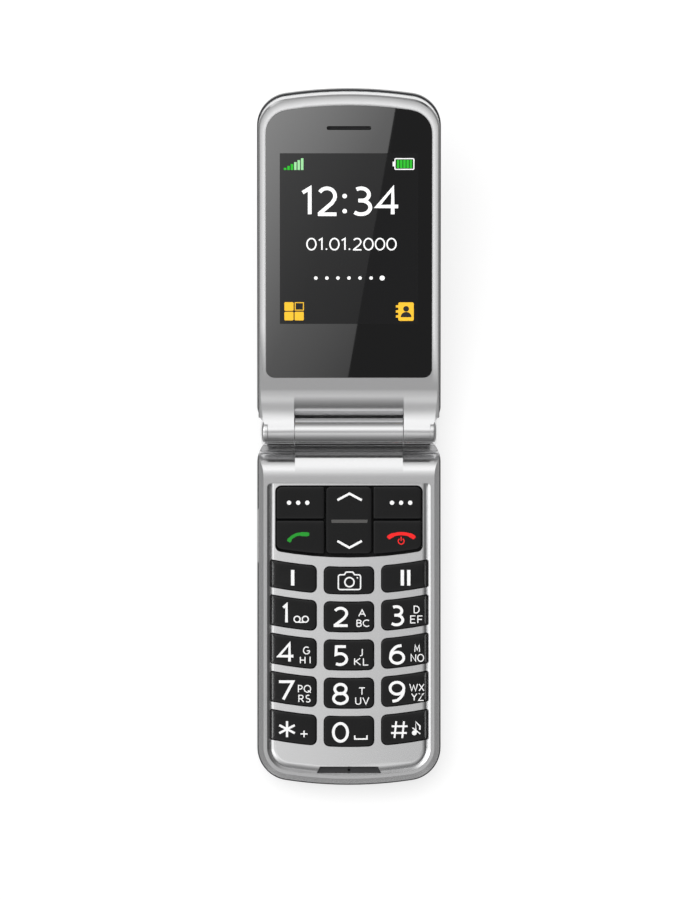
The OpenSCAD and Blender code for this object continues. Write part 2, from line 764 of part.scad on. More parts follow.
module soft_key_left() soft_key(-1);
module soft_key_right() soft_key(1);
module call_key() call_key_at(-1);
module end_key() call_key_at(1);
module memory_key_one() memory_key(-1);
module camera_key() memory_key(0);
module memory_key_two() memory_key(1);
module key_1() number_key(-1, 0);
module key_2() number_key(0, 0);
module key_3() number_key(1, 0);
module key_4() number_key(-1, 1);
module key_5() number_key(0, 1);
module key_6() number_key(1, 1);
module key_7() number_key(-1, 2);
module key_8() number_key(0, 2);
module key_9() number_key(1, 2);
module key_star() number_key(-1, 3);
module key_0() number_key(0, 3);
module key_hash() number_key(1, 3);

// Openings for the keys of one row of the grid, the side ones open to the edge
module row_openings(y0, h, z0, z1, grow)
    translate([0, 0, z0]) linear_extrude(z1 - z0)
        for (column = number_columns) {
            x0 = column_x0(column) - grow;
            x1 = column_x1(column) + grow;
            m = (x1 - x0) / 3;
            polygon(rounded(
                concat(
                    [for (k = [0 : 3]) [x0 + k * m, y0 - grow - sag(x0 + k * m)]],
                    [for (k = [3 : -1 : 0]) [x0 + k * m, y0 + h + grow - sag(x0 + k * m)]]
                ),
                [left_r(column), 0, 0, right_r(column), right_r(column), 0, 0, left_r(column)], 4));
        }

// Profile of the plate: its border rises from a groove toward the rim
module plate_profile() {
    roll_in = side_key_margin + roll_w;
    groove_drop = roll_at(roll_in - ledge_in);
    polygon(concat(
        [[rim_in + plate_fit, ledge_z], [rim_in + plate_fit, plate_top - groove_drop + groove_rise]],
        [for (k = [0 : 6]) let (d = (roll_in - ledge_in) * (1 - k / 6)) [roll_in - d, plate_top - roll_at(d)]],
        [[$depth, plate_top], [$depth, ledge_z]]
    ));
}

module keypad_plate() color("silver") in_base() difference() {
    swept_half(plate_y + plate_fit, ledge_z, plate_top, [ledge_in + 0.8, ledge_z + 0.7]) plate_profile();
    near_corner_cut(half_w - rim_in - plate_fit, plate_y + plate_fit, plate_corner_r, ledge_z - 1, base_t);
    row_openings(memory_y, memory_h, ledge_z - 1, base_t, key_gap);
    for (row = [0 : 3]) row_openings(number_y + row * row_pitch, key_h, ledge_z - 1, base_t, key_gap);
    translate([0, 0, ledge_z - 1]) linear_extrude(base_t) polygon(block_outline(0));
    // room under the plate for the keys' flanges
    translate([0, 0, ledge_z - 1]) linear_extrude(pocket_z - ledge_z + 1)
        polygon(rounded_box(-side_key_out - key_gap, plate_y + 1.5, side_key_out + key_gap,
                            opening_end_y - 0.8, 1));
    translate([0, 0, ledge_z - 1]) linear_extrude(base_t) polygon(mic_slot(0));
}

// Flared slot for the microphone's boot
function mic_slot(grow) = [
    [-mic_slot_half - grow, mic_slot_y - grow], [mic_slot_half + grow, mic_slot_y - grow],
    [mic_slot_half + mic_slot_flare + grow, mic_slot_y + mic_slot_len + grow],
    [-mic_slot_half - mic_slot_flare - grow, mic_slot_y + mic_slot_len + grow]
];

// Middle of each key, where its dome lies
function key_centres() = concat(
    [for (side = [-1, 1], y = [(soft_y + soft_split_y) / 2, (soft_split_y + call_end_y) / 2 - 0.6])
        [side * (block_key_in + block_out) / 2, y]],
    [for (y = [soft_y + 3.5, nav_end_y - 3.5]) [0, y]],
    [for (column = number_columns)
        let (x = (column_x0(column) + column_x1(column)) / 2) [x, memory_y + memory_h / 2 - sag(x)]],
    [for (row = [0 : 3], column = number_columns)
        let (x = (column_x0(column) + column_x1(column)) / 2)
        [x, number_y + row * row_pitch + key_h / 2 - sag(x)]]
);

module keypad_mat() color("#141414") in_base() {
    mat_half = half_w - ledge_in - 0.15;
    translate([0, 0, mat_z]) linear_extrude(mat_t)
        polygon(rounded_box(-mat_half, plate_y + 0.45, mat_half, opening_end_y - 0.2, 1));
    for (c = key_centres()) {
        translate([c[0], c[1], mat_z + mat_t - eps]) cylinder(r = 3, h = pad_h + eps, $fn = 32);
        translate([c[0], c[1], mat_z - 0.15]) cylinder(r = 0.9, h = 0.15 + eps, $fn = 32);
    }
}

module dome_sheet() color("gainsboro") in_base() {
    translate([0, 0, board_top]) linear_extrude(dome_t)
        polygon(rounded_box(-side_key_out + 2.4, plate_y + 1, side_key_out - 2.4, opening_end_y - 1, 1));
    for (c = key_centres())
        translate([c[0], c[1], board_top + dome_t - eps / 2])
            cylinder(r1 = dome_r, r2 = dome_r * 0.55, h = dome_h + eps / 2, $fn = 32);
}

// ---------- electronics of the base ----------

module main_board() color("darkgreen") in_base() {
    translate([0, 0, board_z]) linear_extrude(board_t)
        polygon(rounded_box(-board_half, board_y, board_half, board_end_y, 1.5));
    // switch under the emergency key and the keypad's connector
    translate([sos_x - 2, sos_y - 2, board_z - 0.3]) cube([4, 4, 0.3 + eps]);
    translate([plug_x, bay_y - bay_wall - 1.1 - plug_len, board_z - plug_h]) cube([plug_w, plug_len, plug_h + eps]);
}

// Can over the parts between the board and the loudspeaker
module shield_can() color("lightgray") in_base() {
    x0 = speaker_x - speaker_w / 2 - shield_side;
    x1 = speaker_x + speaker_w / 2;
    y0 = speaker_y - speaker_len / 2;
    y1 = speaker_y + speaker_len / 2;
    translate([0, 0, board_z - shield_h]) difference() {
        linear_extrude(shield_h) polygon(rounded_box(x0, y0, x1, y1, 3 * shield_t));
        translate([0, 0, shield_t]) linear_extrude(shield_h)
            polygon(rounded_box(x0 + shield_t, y0 + shield_t, x1 - shield_t, y1 - shield_t, 2 * shield_t));
    }
}

// Sheet-metal frame that takes a card from the battery bay
module sim_holder() color("silver") in_base() translate([sim_x, sim_y, bay_roof_z + 0.1]) {
    difference() {
        translate([-sim_w / 2, 0, 0]) cube([sim_w, sim_len, board_z - bay_roof_z - 0.1]);
        translate([-sim_card_w / 2, -1, sim_sheet_t]) cube([sim_card_w, sim_len, sim_card_t]);
        translate([-sim_card_w / 2 + 2, 3, -1]) cube([sim_card_w - 4, sim_len - 8, 1.5]);
    }
}

module battery_connector() color("black") in_base() {
    translate([-4, bay_y - bay_wall - 0.8, bay_floor_t + fit]) cube([8, bay_wall + 0.8, 2.3]);
    for (k = [-1 : 1]) translate([k * 2.4 - 0.4, bay_y - eps, bay_floor_t + 0.6]) cube([0.8, 0.5 + eps, 1.2]);
}

module battery() color("#3a3d42") in_base()
    translate([0, bay_y + battery_fit, battery_z]) linear_extrude(battery_t)
        polygon(rounded_box(-battery_w / 2, 0, battery_w / 2, battery_len, 1.2));

module loudspeaker() color("#202020") in_base() translate([speaker_x, speaker_y, floor_t])
    linear_extrude(speaker_t)
        polygon(rounded_box(-speaker_w / 2, -speaker_len / 2, speaker_w / 2, speaker_len / 2, speaker_len / 5));

module vibration_motor() color("silver") in_base()
    translate([motor_x, motor_y, floor_t]) {
        cylinder(r = motor_r, h = motor_t, $fn = round_fn);
        translate([-1.5, -motor_r - 2, 0]) cube([3, 3, 1]);
    }

// Microphone under the ledge, with the boot that fills the plate's slot
module microphone() color("#202020") in_base() difference() {
    union() {
        translate([0, mic_y, ledge_z - ledge_t - mic_t]) cylinder(r = mic_r, h = mic_t, $fn = round_fn);
        translate([0, mic_y, ledge_z - ledge_t - eps])
            cylinder(r = mic_neck_r, h = ledge_t + 2 * eps, $fn = round_fn);
        translate([0, 0, ledge_z]) linear_extrude(mic_boot_z - ledge_z) polygon(mic_slot(-fit));
    }
    translate([0, mic_y, ledge_z - ledge_t - 0.5])
        cylinder(r = mic_bore_r, h = mic_boot_z - ledge_z + ledge_t + 1, $fn = round_fn);
}

module usb_socket() color("silver") in_base() translate([0, half_len - 0.8 - usb_len, 0]) {
    translate([-usb_w / 2, 0, socket_z - usb_h / 2]) difference() {
        cube([usb_w, usb_len, usb_h]);
        translate([0.3, 1, 0.3]) cube([usb_w - 0.6, usb_len, usb_h - 0.6]);
    }
    translate([-1.8, 0.8, socket_z - 0.3]) cube([3.6, usb_len - 2, 0.6]);
    translate([-usb_w / 2, 0, floor_t]) cube([usb_w, usb_len - 2.5, socket_z - usb_h / 2 - floor_t + eps]);
}

// The headset socket ends clear of the bowed wall, whose inside it meets at its outer corner
jack_end_y = end_cy + sqrt(pow(end_r - wall_in, 2) - pow(jack_x + jack_half, 2)) - fit;

module headset_jack() color("#202020") in_base()
    translate([jack_x, jack_end_y, socket_z]) difference() {
        translate([-jack_half, -jack_len, floor_t - socket_z])
            cube([2 * jack_half, jack_len, 2 * (socket_z - floor_t)]);
        translate([0, 1, 0]) rotate([90, 0, 0]) cylinder(r = jack_r, h = jack_len + 2, $fn = round_fn);
    }

module antenna() color("goldenrod") in_base() {
    spring_w = 2;
    spring_t = 0.4;
    body_len = 12;
    translate([motor_x - motor_r - 1.5, board_end_y + 0.3, board_z]) cube([body_len, 5, 1.2]);
    translate([motor_x - motor_r, board_end_y - 0.7, board_z - spring_t]) cube([spring_w, 1, spring_t]);
    translate([motor_x - motor_r, board_end_y + fit, board_z - spring_t]) cube([spring_w, 1.2, 1.5 * spring_t]);
}

module side_switches() color("silver") in_base()
    for (y = [rocker_y - 5, rocker_y + 5]) {
        translate([-board_half, y - 1.5, board_top]) cube([2.2, 3, 0.5]);
        translate([-board_half - 0.6, y - 0.7, board_top + 0.05]) cube([0.7, 1.4, 0.4]);
    }

// Rocker in the left wall; it turns about an upright pin behind the wall
module volume_rocker() color("silver") in_base() {
    flange_h = ledge_z - ledge_t - 0.15 - rocker_z;
    translate([-half_w + rocker_in, rocker_y - rocker_len / 2, rocker_z])
        linear_extrude(rocker_h) polygon(rounded_box(0, 0, rocker_depth, rocker_len, 0.6));
    translate([rocker_x - 0.3, rocker_y - rocker_len / 2 - rocker_flange, rocker_z])
        cube([0.6, rocker_len + 2 * rocker_flange, flange_h]);
    translate([rocker_x, rocker_y, rocker_z - 0.15])
        cylinder(r = rocker_pin_r, h = flange_h + 0.2, $fn = round_fn);
}

module sos_key() color("red") in_base() translate([sos_x, sos_y, 0]) {
    translate([0, 0, sos_recess]) cylinder(r = sos_r, h = floor_t + 0.4 - sos_recess, $fn = round_fn);
    translate([0, 0, floor_t + 0.25]) cylinder(r = sos_r + 0.7, h = 0.5, $fn = round_fn);
    translate([0, 0, floor_t + 0.5]) cylinder(r = 1.4, h = board_z - 0.7 - floor_t - 0.5, $fn = round_fn);
}

// ---------- hinge ----------

module along_x(x, r, h) translate([x, 0, 0]) rotate([0, 90, 0]) cylinder(r = r, h = h, $fn = big_fn);

can_x0 = 4.1;
can_x1 = barrel_half - 0.2;
can_r = barrel_bore_r - run_fit;
can_bore_r = can_r - 0.6;
shaft_r = 1;
shaft_flange_x = can_x1 - 1.2;
cam_x = shaft_flange_x - 2.2;
spring_wire_r = 0.25;
spring_r = can_bore_r - spring_wire_r - 0.15;
spring_turns = 6;
knuckle_bore_r = 2.45;
// The caps' plugs, the shaft's nose and the bush end this far inside the knuckles
cap_plug = 1.2;
nose_in = 2;
bush_x = knuckle_end - 1.3;
cap_edge_r = 1.1;
cap_rise = 0.2;
flex_roll_r = 1.7;
flex_t = 0.15;

module hinge_cartridge() color("lightgray") in_base() translate([0, 0, hinge_z]) difference() {
    along_x(can_x0, can_r, can_x1 - can_x0);
    along_x(can_x0 + 1, can_bore_r, can_x1);
    along_x(can_x0 - 1, shaft_r + run_fit, 3);
}

// Coil spring: rings of a round wire along a helix
module hinge_spring() color("gray") in_base() translate([0, 0, hinge_z]) {
    ring_n = 6;
    steps = spring_turns * 12;
    x0 = can_x0 + 1 + spring_wire_r;
    pitch = (cam_x - spring_wire_r - x0) / spring_turns;
    rings = [for (i = [0 : steps])
        let (t = i / 12 * 360)
        [for (k = [0 : ring_n - 1])
            let (r = spring_r + spring_wire_r * cos(k * 360 / ring_n))
            [x0 + pitch * i / 12 + spring_wire_r * sin(k * 360 / ring_n), r * cos(t), r * sin(t)]]];
    polyhedron(
        [for (ring = rings, p = ring) p],
        concat(
            [[for (k = [ring_n - 1 : -1 : 0]) k]],
            [for (i = [0 : steps - 1], k = [0 : ring_n - 1])
                [i * ring_n + k, i * ring_n + (k + 1) % ring_n,
                 (i + 1) * ring_n + (k + 1) % ring_n, (i + 1) * ring_n + k]],
            [[for (k = [0 : ring_n - 1]) steps * ring_n + k]]
        )
    );
}

// Cam ring keyed in the cartridge, with two lobes toward the shaft's flange
module hinge_cam() color("gray") in_base() translate([0, 0, hinge_z]) difference() {
    union() {
        along_x(cam_x, can_bore_r - run_fit, 1.6);
        intersection() {
            along_x(cam_x, can_bore_r - run_fit, 2.1);
            translate([cam_x, -0.7, -can_r]) cube([3, 1.4, 2 * can_r]);
        }
    }
    along_x(cam_x - 1, shaft_r + run_fit, 5);
}

// Shaft that turns with the lid: through the cartridge, flange, flatted nose
module hinge_shaft() color("silver") in_lid() {
    along_x(can_x0 + 0.2, shaft_r, knuckle_start - can_x0);
    along_x(shaft_flange_x + 0.1, can_bore_r - run_fit, 0.9);
    intersection() {
        along_x(can_x1 + 0.1, knuckle_bore_r - run_fit, knuckle_end - nose_in - can_x1 - 0.1);
        translate([can_x1, -barrel_r, -1.9]) cube([8, 2 * barrel_r, 3.8]);
    }
}

module hinge_bush() color("silver") in_lid() difference() {
    along_x(-bush_x, barrel_bore_r - run_fit, bush_x - barrel_half + 3);
    along_x(-bush_x - 1, barrel_bore_r - run_fit - 0.7, bush_x - barrel_half + 5);
}

// Caps that close the knuckles at the sides
module hinge_caps() color("silver") in_lid() for (side = [0, 1]) mirror([side, 0, 0]) {
    face_r = barrel_r - cap_edge_r;
    translate([knuckle_end, 0, 0]) rotate([0, 90, 0]) rotate_extrude($fn = big_fn)
        polygon(concat(
            [[0, 0], [barrel_r, 0]],
            arc([face_r, cap_t - cap_rise - cap_edge_r], cap_edge_r, 0, 84, 7),
            [for (k = [4 : -1 : 0]) [face_r * k / 5, cap_t - cap_rise * pow(k / 5, 2)]]
        ));
    along_x(knuckle_end - cap_plug, knuckle_bore_r - run_fit, cap_plug + eps);
}

// Ribbon cable rolled in the left barrel, with a tail into each half
module hinge_flex() color("orange") in_base() {
    tail_w = flex_x1 - flex_x0 - 0.6;
    translate([0, 0, hinge_z]) difference() {
        along_x(flex_roll_x0, flex_roll_r + flex_t, flex_x1 - 0.3 - flex_roll_x0);
        along_x(flex_roll_x0 - 1, flex_roll_r, flex_x1 - flex_roll_x0 + 3);
    }
    translate([flex_x0 + 0.3, 1.5, shelf_z + 0.4]) cube([tail_w, flex_t, hinge_z - shelf_z - 1.4]);
    translate([flex_x0 + 0.3, 1.5, shelf_z + 0.4]) cube([tail_w, board_y - 0.9, flex_t]);
}

// ---------- lid ----------

// Side view of the ramp from the lid's inner face up to a knuckle
module ramp_side_view() difference() {
    tip = ramp_r * [-sin(ramp_angle), -cos(ramp_angle)] + [ramp_y, lid_in + ramp_r];
    polygon([[0, lid_in - 1], barrel_r * [sin(ramp_angle), cos(ramp_angle)], tip, [ramp_y, lid_in],
             [ramp_y, lid_in - 1]]);
    translate([ramp_y, lid_in + ramp_r - 0.01]) circle(ramp_r, $fn = big_fn);
}

// Room over the middle barrel: a lip that leaves the ramp at lip_angle and
// rolls down just clear of the barrel
module lid_pocket_view() {
    n = [sin(lip_angle), cos(lip_angle)];
    p = [ramp_y - ramp_r * sin(lip_angle), lid_in + ramp_r * (1 - cos(lip_angle))];
    lip_r = (p * p - sweep_r * sweep_r) / (2 * (sweep_r + p * n));
    c = p - lip_r * n;
    difference() {
        polygon([[-1, barrel_r], [p[0], barrel_r], p, c, [-1, c[1]]]);
        translate(c) circle(lip_r - 0.01, $fn = big_fn);
    }
}

module lid_knuckle_bores() {
    along_x(knuckle_start - 1, knuckle_bore_r, 30);
    mirror([1, 0, 0]) {
        along_x(knuckle_start - 1, barrel_bore_r, knuckle_end - cap_plug - knuckle_start + 1);
        along_x(knuckle_end - cap_plug - 0.3, knuckle_bore_r, cap_plug + 2);
    }
}

function window_outline(grow) =
    let (side_in = half_w - window_w / 2 - grow)
    half_outline(side_in, window_end - grow, window_y - grow, 7 + grow, 2.5 + grow);

module lid_front_shell() color("silver") in_lid() difference() {
    union() {
        swept_half(end_wall_y, lid_joint_z, lid_in, [shell_step + wall_t / 2, lid_joint_z + 0.8])
            front_profile(lid_joint_z, lid_in, lid_edge_w);
        for (side = [0, 1]) mirror([side, 0, 0]) {
            intersection() {
                across(-1, ramp_x) ramp_side_view();
                translate([0, 0, -base_t]) linear_extrude(3 * base_t)
                    polygon([[0, -9], [knuckle_end, -9], [knuckle_end, 0.6], [ramp_x - 0.6, sweep_r],
                             [ramp_x, ramp_y - 3], [ramp_x, ramp_y], [0, ramp_y]]);
            }
            along_x(knuckle_start, barrel_r, knuckle_end - knuckle_start);
        }
    }
    hinge_corner_cut(lid_hinge_r, -base_t, base_t);
    across(-knuckle_start, knuckle_start) lid_pocket_view();
    for (side = [0, 1]) mirror([side, 0, 0]) along_x(knuckle_end, barrel_r + 0.12, 10);
    lid_knuckle_bores();
    // seat of the window, openings behind it and the room inside
    translate([0, 0, glass_back - fit / 2]) linear_extrude(lid_t) polygon(window_outline(glass_fit));
    difference() {
        half_prism(wall_in, roof_y + 5, lid_joint_z - 1, bezel_back, 2);
        lid_bosses(lid_joint_z - 2, bezel_back + 1);
    }
    translate([-lcd_w / 2 - 0.3, lcd_y - 0.3, lid_joint_z]) cube([lcd_w + 0.6, lcd_len + 0.6, lid_t]);
    translate([0, ear_y, bezel_back - 1]) linear_extrude(3) polygon(ear_slot(-0.3));
    for (p = lid_screw_places, side = [-1, 1]) translate([side * p[0], p[1], lid_joint_z - 1]) {
        cylinder(r = screw_r + fit, h = lid_t, $fn = round_fn);
        translate([0, 0, glass_back - 0.9 - lid_joint_z + 1]) cylinder(r = screw_head_r + fit, h = 3, $fn = round_fn);
    }
    // way of the ribbon cable out of the left knuckle
    translate([flex_roll_x0, 1.2, -6]) cube([4.5, 0.8, 5]);
}

function ear_slot(grow) =
    rounded_box(-ear_slot_len / 2 - grow, -ear_slot_w / 2 - grow, ear_slot_len / 2 + grow,
                ear_slot_w / 2 + grow, ear_slot_w / 2 + grow - 0.02, 8);

module lid_bosses(z0, z1)
    for (p = lid_screw_places, side = [-1, 1])
        translate([side * p[0], p[1], z0]) cylinder(r = boss_r, h = z1 - z0, $fn = round_fn);

module lid_rear_shell() color("#26282b") in_lid() difference() {
    union() {
        difference() {
            swept_half(end_wall_y, lid_out, lid_joint_z, [wall_t / 2, lid_joint_z - 0.8])
                rear_profile(lid_out, lid_joint_z, lid_back_r);
            half_prism(wall_in, end_wall_y + wall_t, lid_floor, lid_joint_z + 1, 3);
        }
        lid_bosses(lid_floor - eps, lid_joint_z);
        for (y = [lcd_y + 4, lcd_y + lcd_len - 4], side = [-1, 1])
            translate([side * (lid_board_half - 5.5) - 2, y, lid_floor - eps])
                cube([4, 1, lid_board_z - lid_floor + eps]);
        // ring that seats the camera
        translate([0, camera_y, lid_floor - eps]) cylinder(r = camera_window_r + 0.8, h = 0.4, $fn = round_fn);
    }
    hinge_corner_cut(lid_hinge_r, lid_out - 1, lid_joint_z + 1);
    end_wall_cut(lid_out, hinge_back_r);
    for (side = [0, 1]) mirror([side, 0, 0]) along_x(knuckle_end, barrel_r + 0.12, 10);
    for (p = lid_screw_places, side = [-1, 1])
        translate([side * p[0], p[1], lid_floor + 0.4]) cylinder(r = screw_r, h = lid_t, $fn = round_fn);
    translate([0, camera_y, lid_out - 1])
        cylinder(r = camera_window_r + glass_fit, h = camera_window_t + 1.05, $fn = round_fn);
    translate([0, camera_y, lid_out - 1]) cylinder(r = camera_r + fit, h = 4, $fn = round_fn);
}

module lid_screws() color("dimgray") in_lid()
    for (p = lid_screw_places, side = [-1, 1]) translate([side * p[0], p[1], 0]) {
        translate([0, 0, glass_back - 0.85]) difference() {
            cylinder(r = screw_head_r, h = 0.7, $fn = round_fn);
            translate([0, 0, 0.35]) cylinder(r = 0.6, h = 1, $fn = 6);
        }
        translate([0, 0, lid_floor + 0.6])
            cylinder(r = screw_r - run_fit, h = glass_back - 0.85 - lid_floor - 0.6 + eps, $fn = round_fn);
    }

module display_window() color("black") in_lid() difference() {
    translate([0, 0, glass_back]) linear_extrude(window_t) polygon(window_outline(0));
    translate([0, ear_y, glass_back - 1]) linear_extrude(window_t + 2) polygon(ear_slot(0));
}

module lcd_panel() color("#303236") in_lid()
    translate([-lcd_w / 2 + 0.5, lcd_y + 0.5, lcd_back + 0.35]) cube([lcd_w - 1, lcd_len - 1, lcd_t - 0.4]);

module lcd_frame() color("lightgray") in_lid() translate([0, lcd_y, lcd_back]) difference() {
    translate([-lcd_w / 2, 0, 0]) cube([lcd_w, lcd_len, lcd_t]);
    translate([-lcd_w / 2 + 0.4, 0.4, 0.3]) cube([lcd_w - 0.8, lcd_len - 0.8, lcd_t]);
}

module lid_board() color("darkgreen") in_lid() difference() {
    translate([0, 0, lid_board_z]) linear_extrude(lid_board_t)
        polygon(rounded_box(-lid_board_half, lid_board_y, lid_board_half, lcd_y + lcd_len + lid_board_over, 1.5));
    translate([0, camera_y, lid_board_z - 1]) cylinder(r = 1.2, h = 3, $fn = round_fn);
}

module earpiece() color("#202020") in_lid() translate([0, ear_y, bezel_back - ear_body_t])
    linear_extrude(ear_body_t)
        polygon(rounded_box(-ear_body_len / 2, -ear_body_w / 2, ear_body_len / 2, ear_body_w / 2, ear_body_r));

module earpiece_mesh() color("#101010") in_lid() difference() {
    translate([0, ear_y, glass_back]) linear_extrude(0.15) polygon(ear_slot(-0.05));
    for (k = [-8 : 8]) translate([k * ear_slot_len / 18.4, ear_y, glass_back - 1]) cylinder(r = 0.2, h = 2, $fn = 24);
}

module camera_module() color("#202020") in_lid() translate([0, camera_y, 0]) {
    body_z = lid_floor + 0.4;
    translate([-4, -4, body_z]) cube([8, 8, lid_board_z - body_z]);
    translate([0, 0, lid_out + camera_window_t + 0.1])
        cylinder(r = camera_r, h = body_z - lid_out - camera_window_t - 0.1 + eps, $fn = round_fn);
}

module camera_window() color("black") in_lid()
    translate([0, camera_y, lid_out]) cylinder(r = camera_window_r, h = camera_window_t, $fn = round_fn);

module lid_magnet() color("silver") in_lid()
    translate([9, half_len - 12.5, lid_floor]) cube([6, 3, 1.8]);

base_front_shell();
keypad_plate();
base_rear_shell();
keypad_mat();
dome_sheet();
main_board();
shield_can();
sim_holder();
battery_connector();
battery();
loudspeaker();
vibration_motor();
microphone();
usb_socket();
headset_jack();
antenna();
base_screws();
side_switches();
hinge_cartridge();
hinge_spring();
hinge_cam();
hinge_flex();
soft_key_left();
soft_key_right();
call_key();
end_key();
nav_key();
memory_key_one();
camera_key();
memory_key_two();
key_1();
key_2();
key_3();
key_4();
key_5();
key_6();
key_7();
key_8();
key_9();
key_star();
key_0();
key_hash();
volume_rocker();
sos_key();
battery_cover();
lid_front_shell();
display_window();
lcd_panel();
lcd_frame();
lid_board();
earpiece();
earpiece_mesh();
lid_rear_shell();
camera_module();
camera_window();
lid_screws();
lid_magnet();
hinge_shaft();
hinge_bush();
hinge_caps();
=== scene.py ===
"""Finish, keys, legends and display of a folding phone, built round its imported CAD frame."""
import json
from functools import cache, cached_property, partial
from math import acos, atan2, cos, pi, radians, sin, sqrt, tan, tau

import bmesh
import bpy
from bpy.props import FloatProperty, FloatVectorProperty, PointerProperty, StringProperty
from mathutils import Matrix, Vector
from mathutils.geometry import delaunay_2d_cdt


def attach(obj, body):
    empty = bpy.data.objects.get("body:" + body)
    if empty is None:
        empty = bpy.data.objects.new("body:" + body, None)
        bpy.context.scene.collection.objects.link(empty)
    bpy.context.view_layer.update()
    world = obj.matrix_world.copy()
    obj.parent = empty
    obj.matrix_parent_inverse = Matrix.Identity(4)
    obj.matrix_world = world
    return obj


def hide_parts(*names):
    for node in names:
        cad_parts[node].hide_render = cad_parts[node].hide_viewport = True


bl_info = {
    "name": "Folding phone finish",
    "version": (1, 0, 0),
    "blender": (4, 5, 0),
    "location": "View3D > Sidebar > Phone",
    "description": "Adds finishes, keycaps, legends and display signs to a folding phone",
    "category": "Object",
}

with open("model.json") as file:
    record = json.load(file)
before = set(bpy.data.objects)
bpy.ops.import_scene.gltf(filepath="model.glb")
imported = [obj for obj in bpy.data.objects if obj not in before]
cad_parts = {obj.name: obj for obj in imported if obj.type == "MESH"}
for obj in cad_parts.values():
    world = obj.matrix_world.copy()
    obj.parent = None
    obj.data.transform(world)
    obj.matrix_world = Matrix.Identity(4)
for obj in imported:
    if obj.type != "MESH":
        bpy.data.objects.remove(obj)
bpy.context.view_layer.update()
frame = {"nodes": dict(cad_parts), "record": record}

# millimetres, in the frame in which each half is drawn: x across, y from the hinge axis to the far end and
# z toward the side with the keys or the display
HALF_LEN = 102.1
HALF_W = 26.5
END_R = 120.1
CORNER_R = 9.6
HINGE_Y = 49.025
HINGE_Z = 11.75
LID_TILT = radians(17.5)
KNUCKLE_OUT = 23.5
KEY_BOTTOM = 9.3
KEY_TOP = 11.4
PLATE_TOP = 11.1
GLASS_TOP = -0.35
SIDE_KEY_OUT = 22.7
COLUMNS = {-1: (-SIDE_KEY_OUT, -9.4), 0: (-7.2, 7.2), 1: (9.4, SIDE_KEY_OUT)}
KEY_R, TIGHT_R = 1.7, 0.45      # corners of the keys, and those at the phone's sides
ROLL_DEPTH = 0.55
# edges of the block of soft keys
BLOCK_IN, BLOCK_OUT, BLOCK_NEAR, BLOCK_SPLIT, BLOCK_FAR = 7.05, 21, 15.75, 25.4, 35.6
NAV_OUT, NAV_FAR, NAV_R = 6.65, 35.3, 1.45
HALF_GAP = 0.2


def base_point(x, y, z):
    return Vector((x, HINGE_Y - y, z)) / 1000


def lid_point(x, y, z):
    c, s = cos(LID_TILT), sin(LID_TILT)
    return Vector((x, HINGE_Y + y * c - z * s, HINGE_Z + y * s + z * c)) / 1000


LID_AXIS = lid_point(0, 0, 0)
LID_ALONG = (lid_point(0, 1, 0) - LID_AXIS).normalized()
LID_UP = (lid_point(0, 0, 1) - LID_AXIS).normalized()


def sag(x):
    """How far the bowed rows fall back at x."""
    return END_R - sqrt(END_R * END_R - x * x)


def linked(name, data):
    """New object in the scene."""
    ob = bpy.data.objects.new(name, data)
    bpy.context.collection.objects.link(ob)
    return ob


# ---------- outlines and meshes ----------

def rounded(points, radii, steps=6):
    """Closed outline with each corner rounded to its own radius."""
    out = []
    n = len(points)
    for i, (p, r) in enumerate(zip(points, radii)):
        p = Vector(p)
        if r <= 0:
            out.append(tuple(p))
            continue
        a = (Vector(points[i - 1]) - p).normalized()
        b = (Vector(points[(i + 1) % n]) - p).normalized()
        half = acos(max(-1, min(1, a.dot(b)))) / 2
        c = p + (a + b).normalized() * (r / sin(half))
        v0 = p + a * (r / tan(half)) - c
        v1 = p + b * (r / tan(half)) - c
        start = atan2(v0.y, v0.x)
        turn = (atan2(v1.y, v1.x) - start + 3 * pi) % tau - pi
        angles = (start + turn * k / steps for k in range(steps + 1))
        out += [(c.x + r * cos(t), c.y + r * sin(t)) for t in angles]
    return out


def box(x0, y0, x1, y1, r=0, steps=6):
    return rounded([(x0, y0), (x1, y0), (x1, y1), (x0, y1)], [r] * 4, steps)


def mesh_object(name, verts, faces, place=base_point, smooth=35):
    """Object of a mesh given in millimetres in a half's own frame."""
    me = bpy.data.meshes.new(name)
    me.from_pydata([place(*v) for v in verts], [], faces)
    bm = bmesh.new()
    bm.from_mesh(me)
    bmesh.ops.delete(bm, geom=[v for v in bm.verts if not v.link_faces], context="VERTS")
    bmesh.ops.recalc_face_normals(bm, faces=bm.faces)
    bm.to_mesh(me)
    bm.free()
    if smooth:
        me.shade_smooth()
        me.set_sharp_from_angle(angle=radians(smooth))
    return linked(name, me)


def loft(rings, closed=True):
    """Vertices and faces through rings of equal length."""
    n = len(rings[0])
    verts = [p for ring in rings for p in ring]
    faces = [(i + k, i + (k + 1) % n, i + n + (k + 1) % n, i + n + k)
             for i in range(0, len(verts) - n, n) for k in range(n)]
    if closed:
        faces += [range(n - 1, -1, -1), range(len(verts) - n, len(verts))]
    return verts, faces


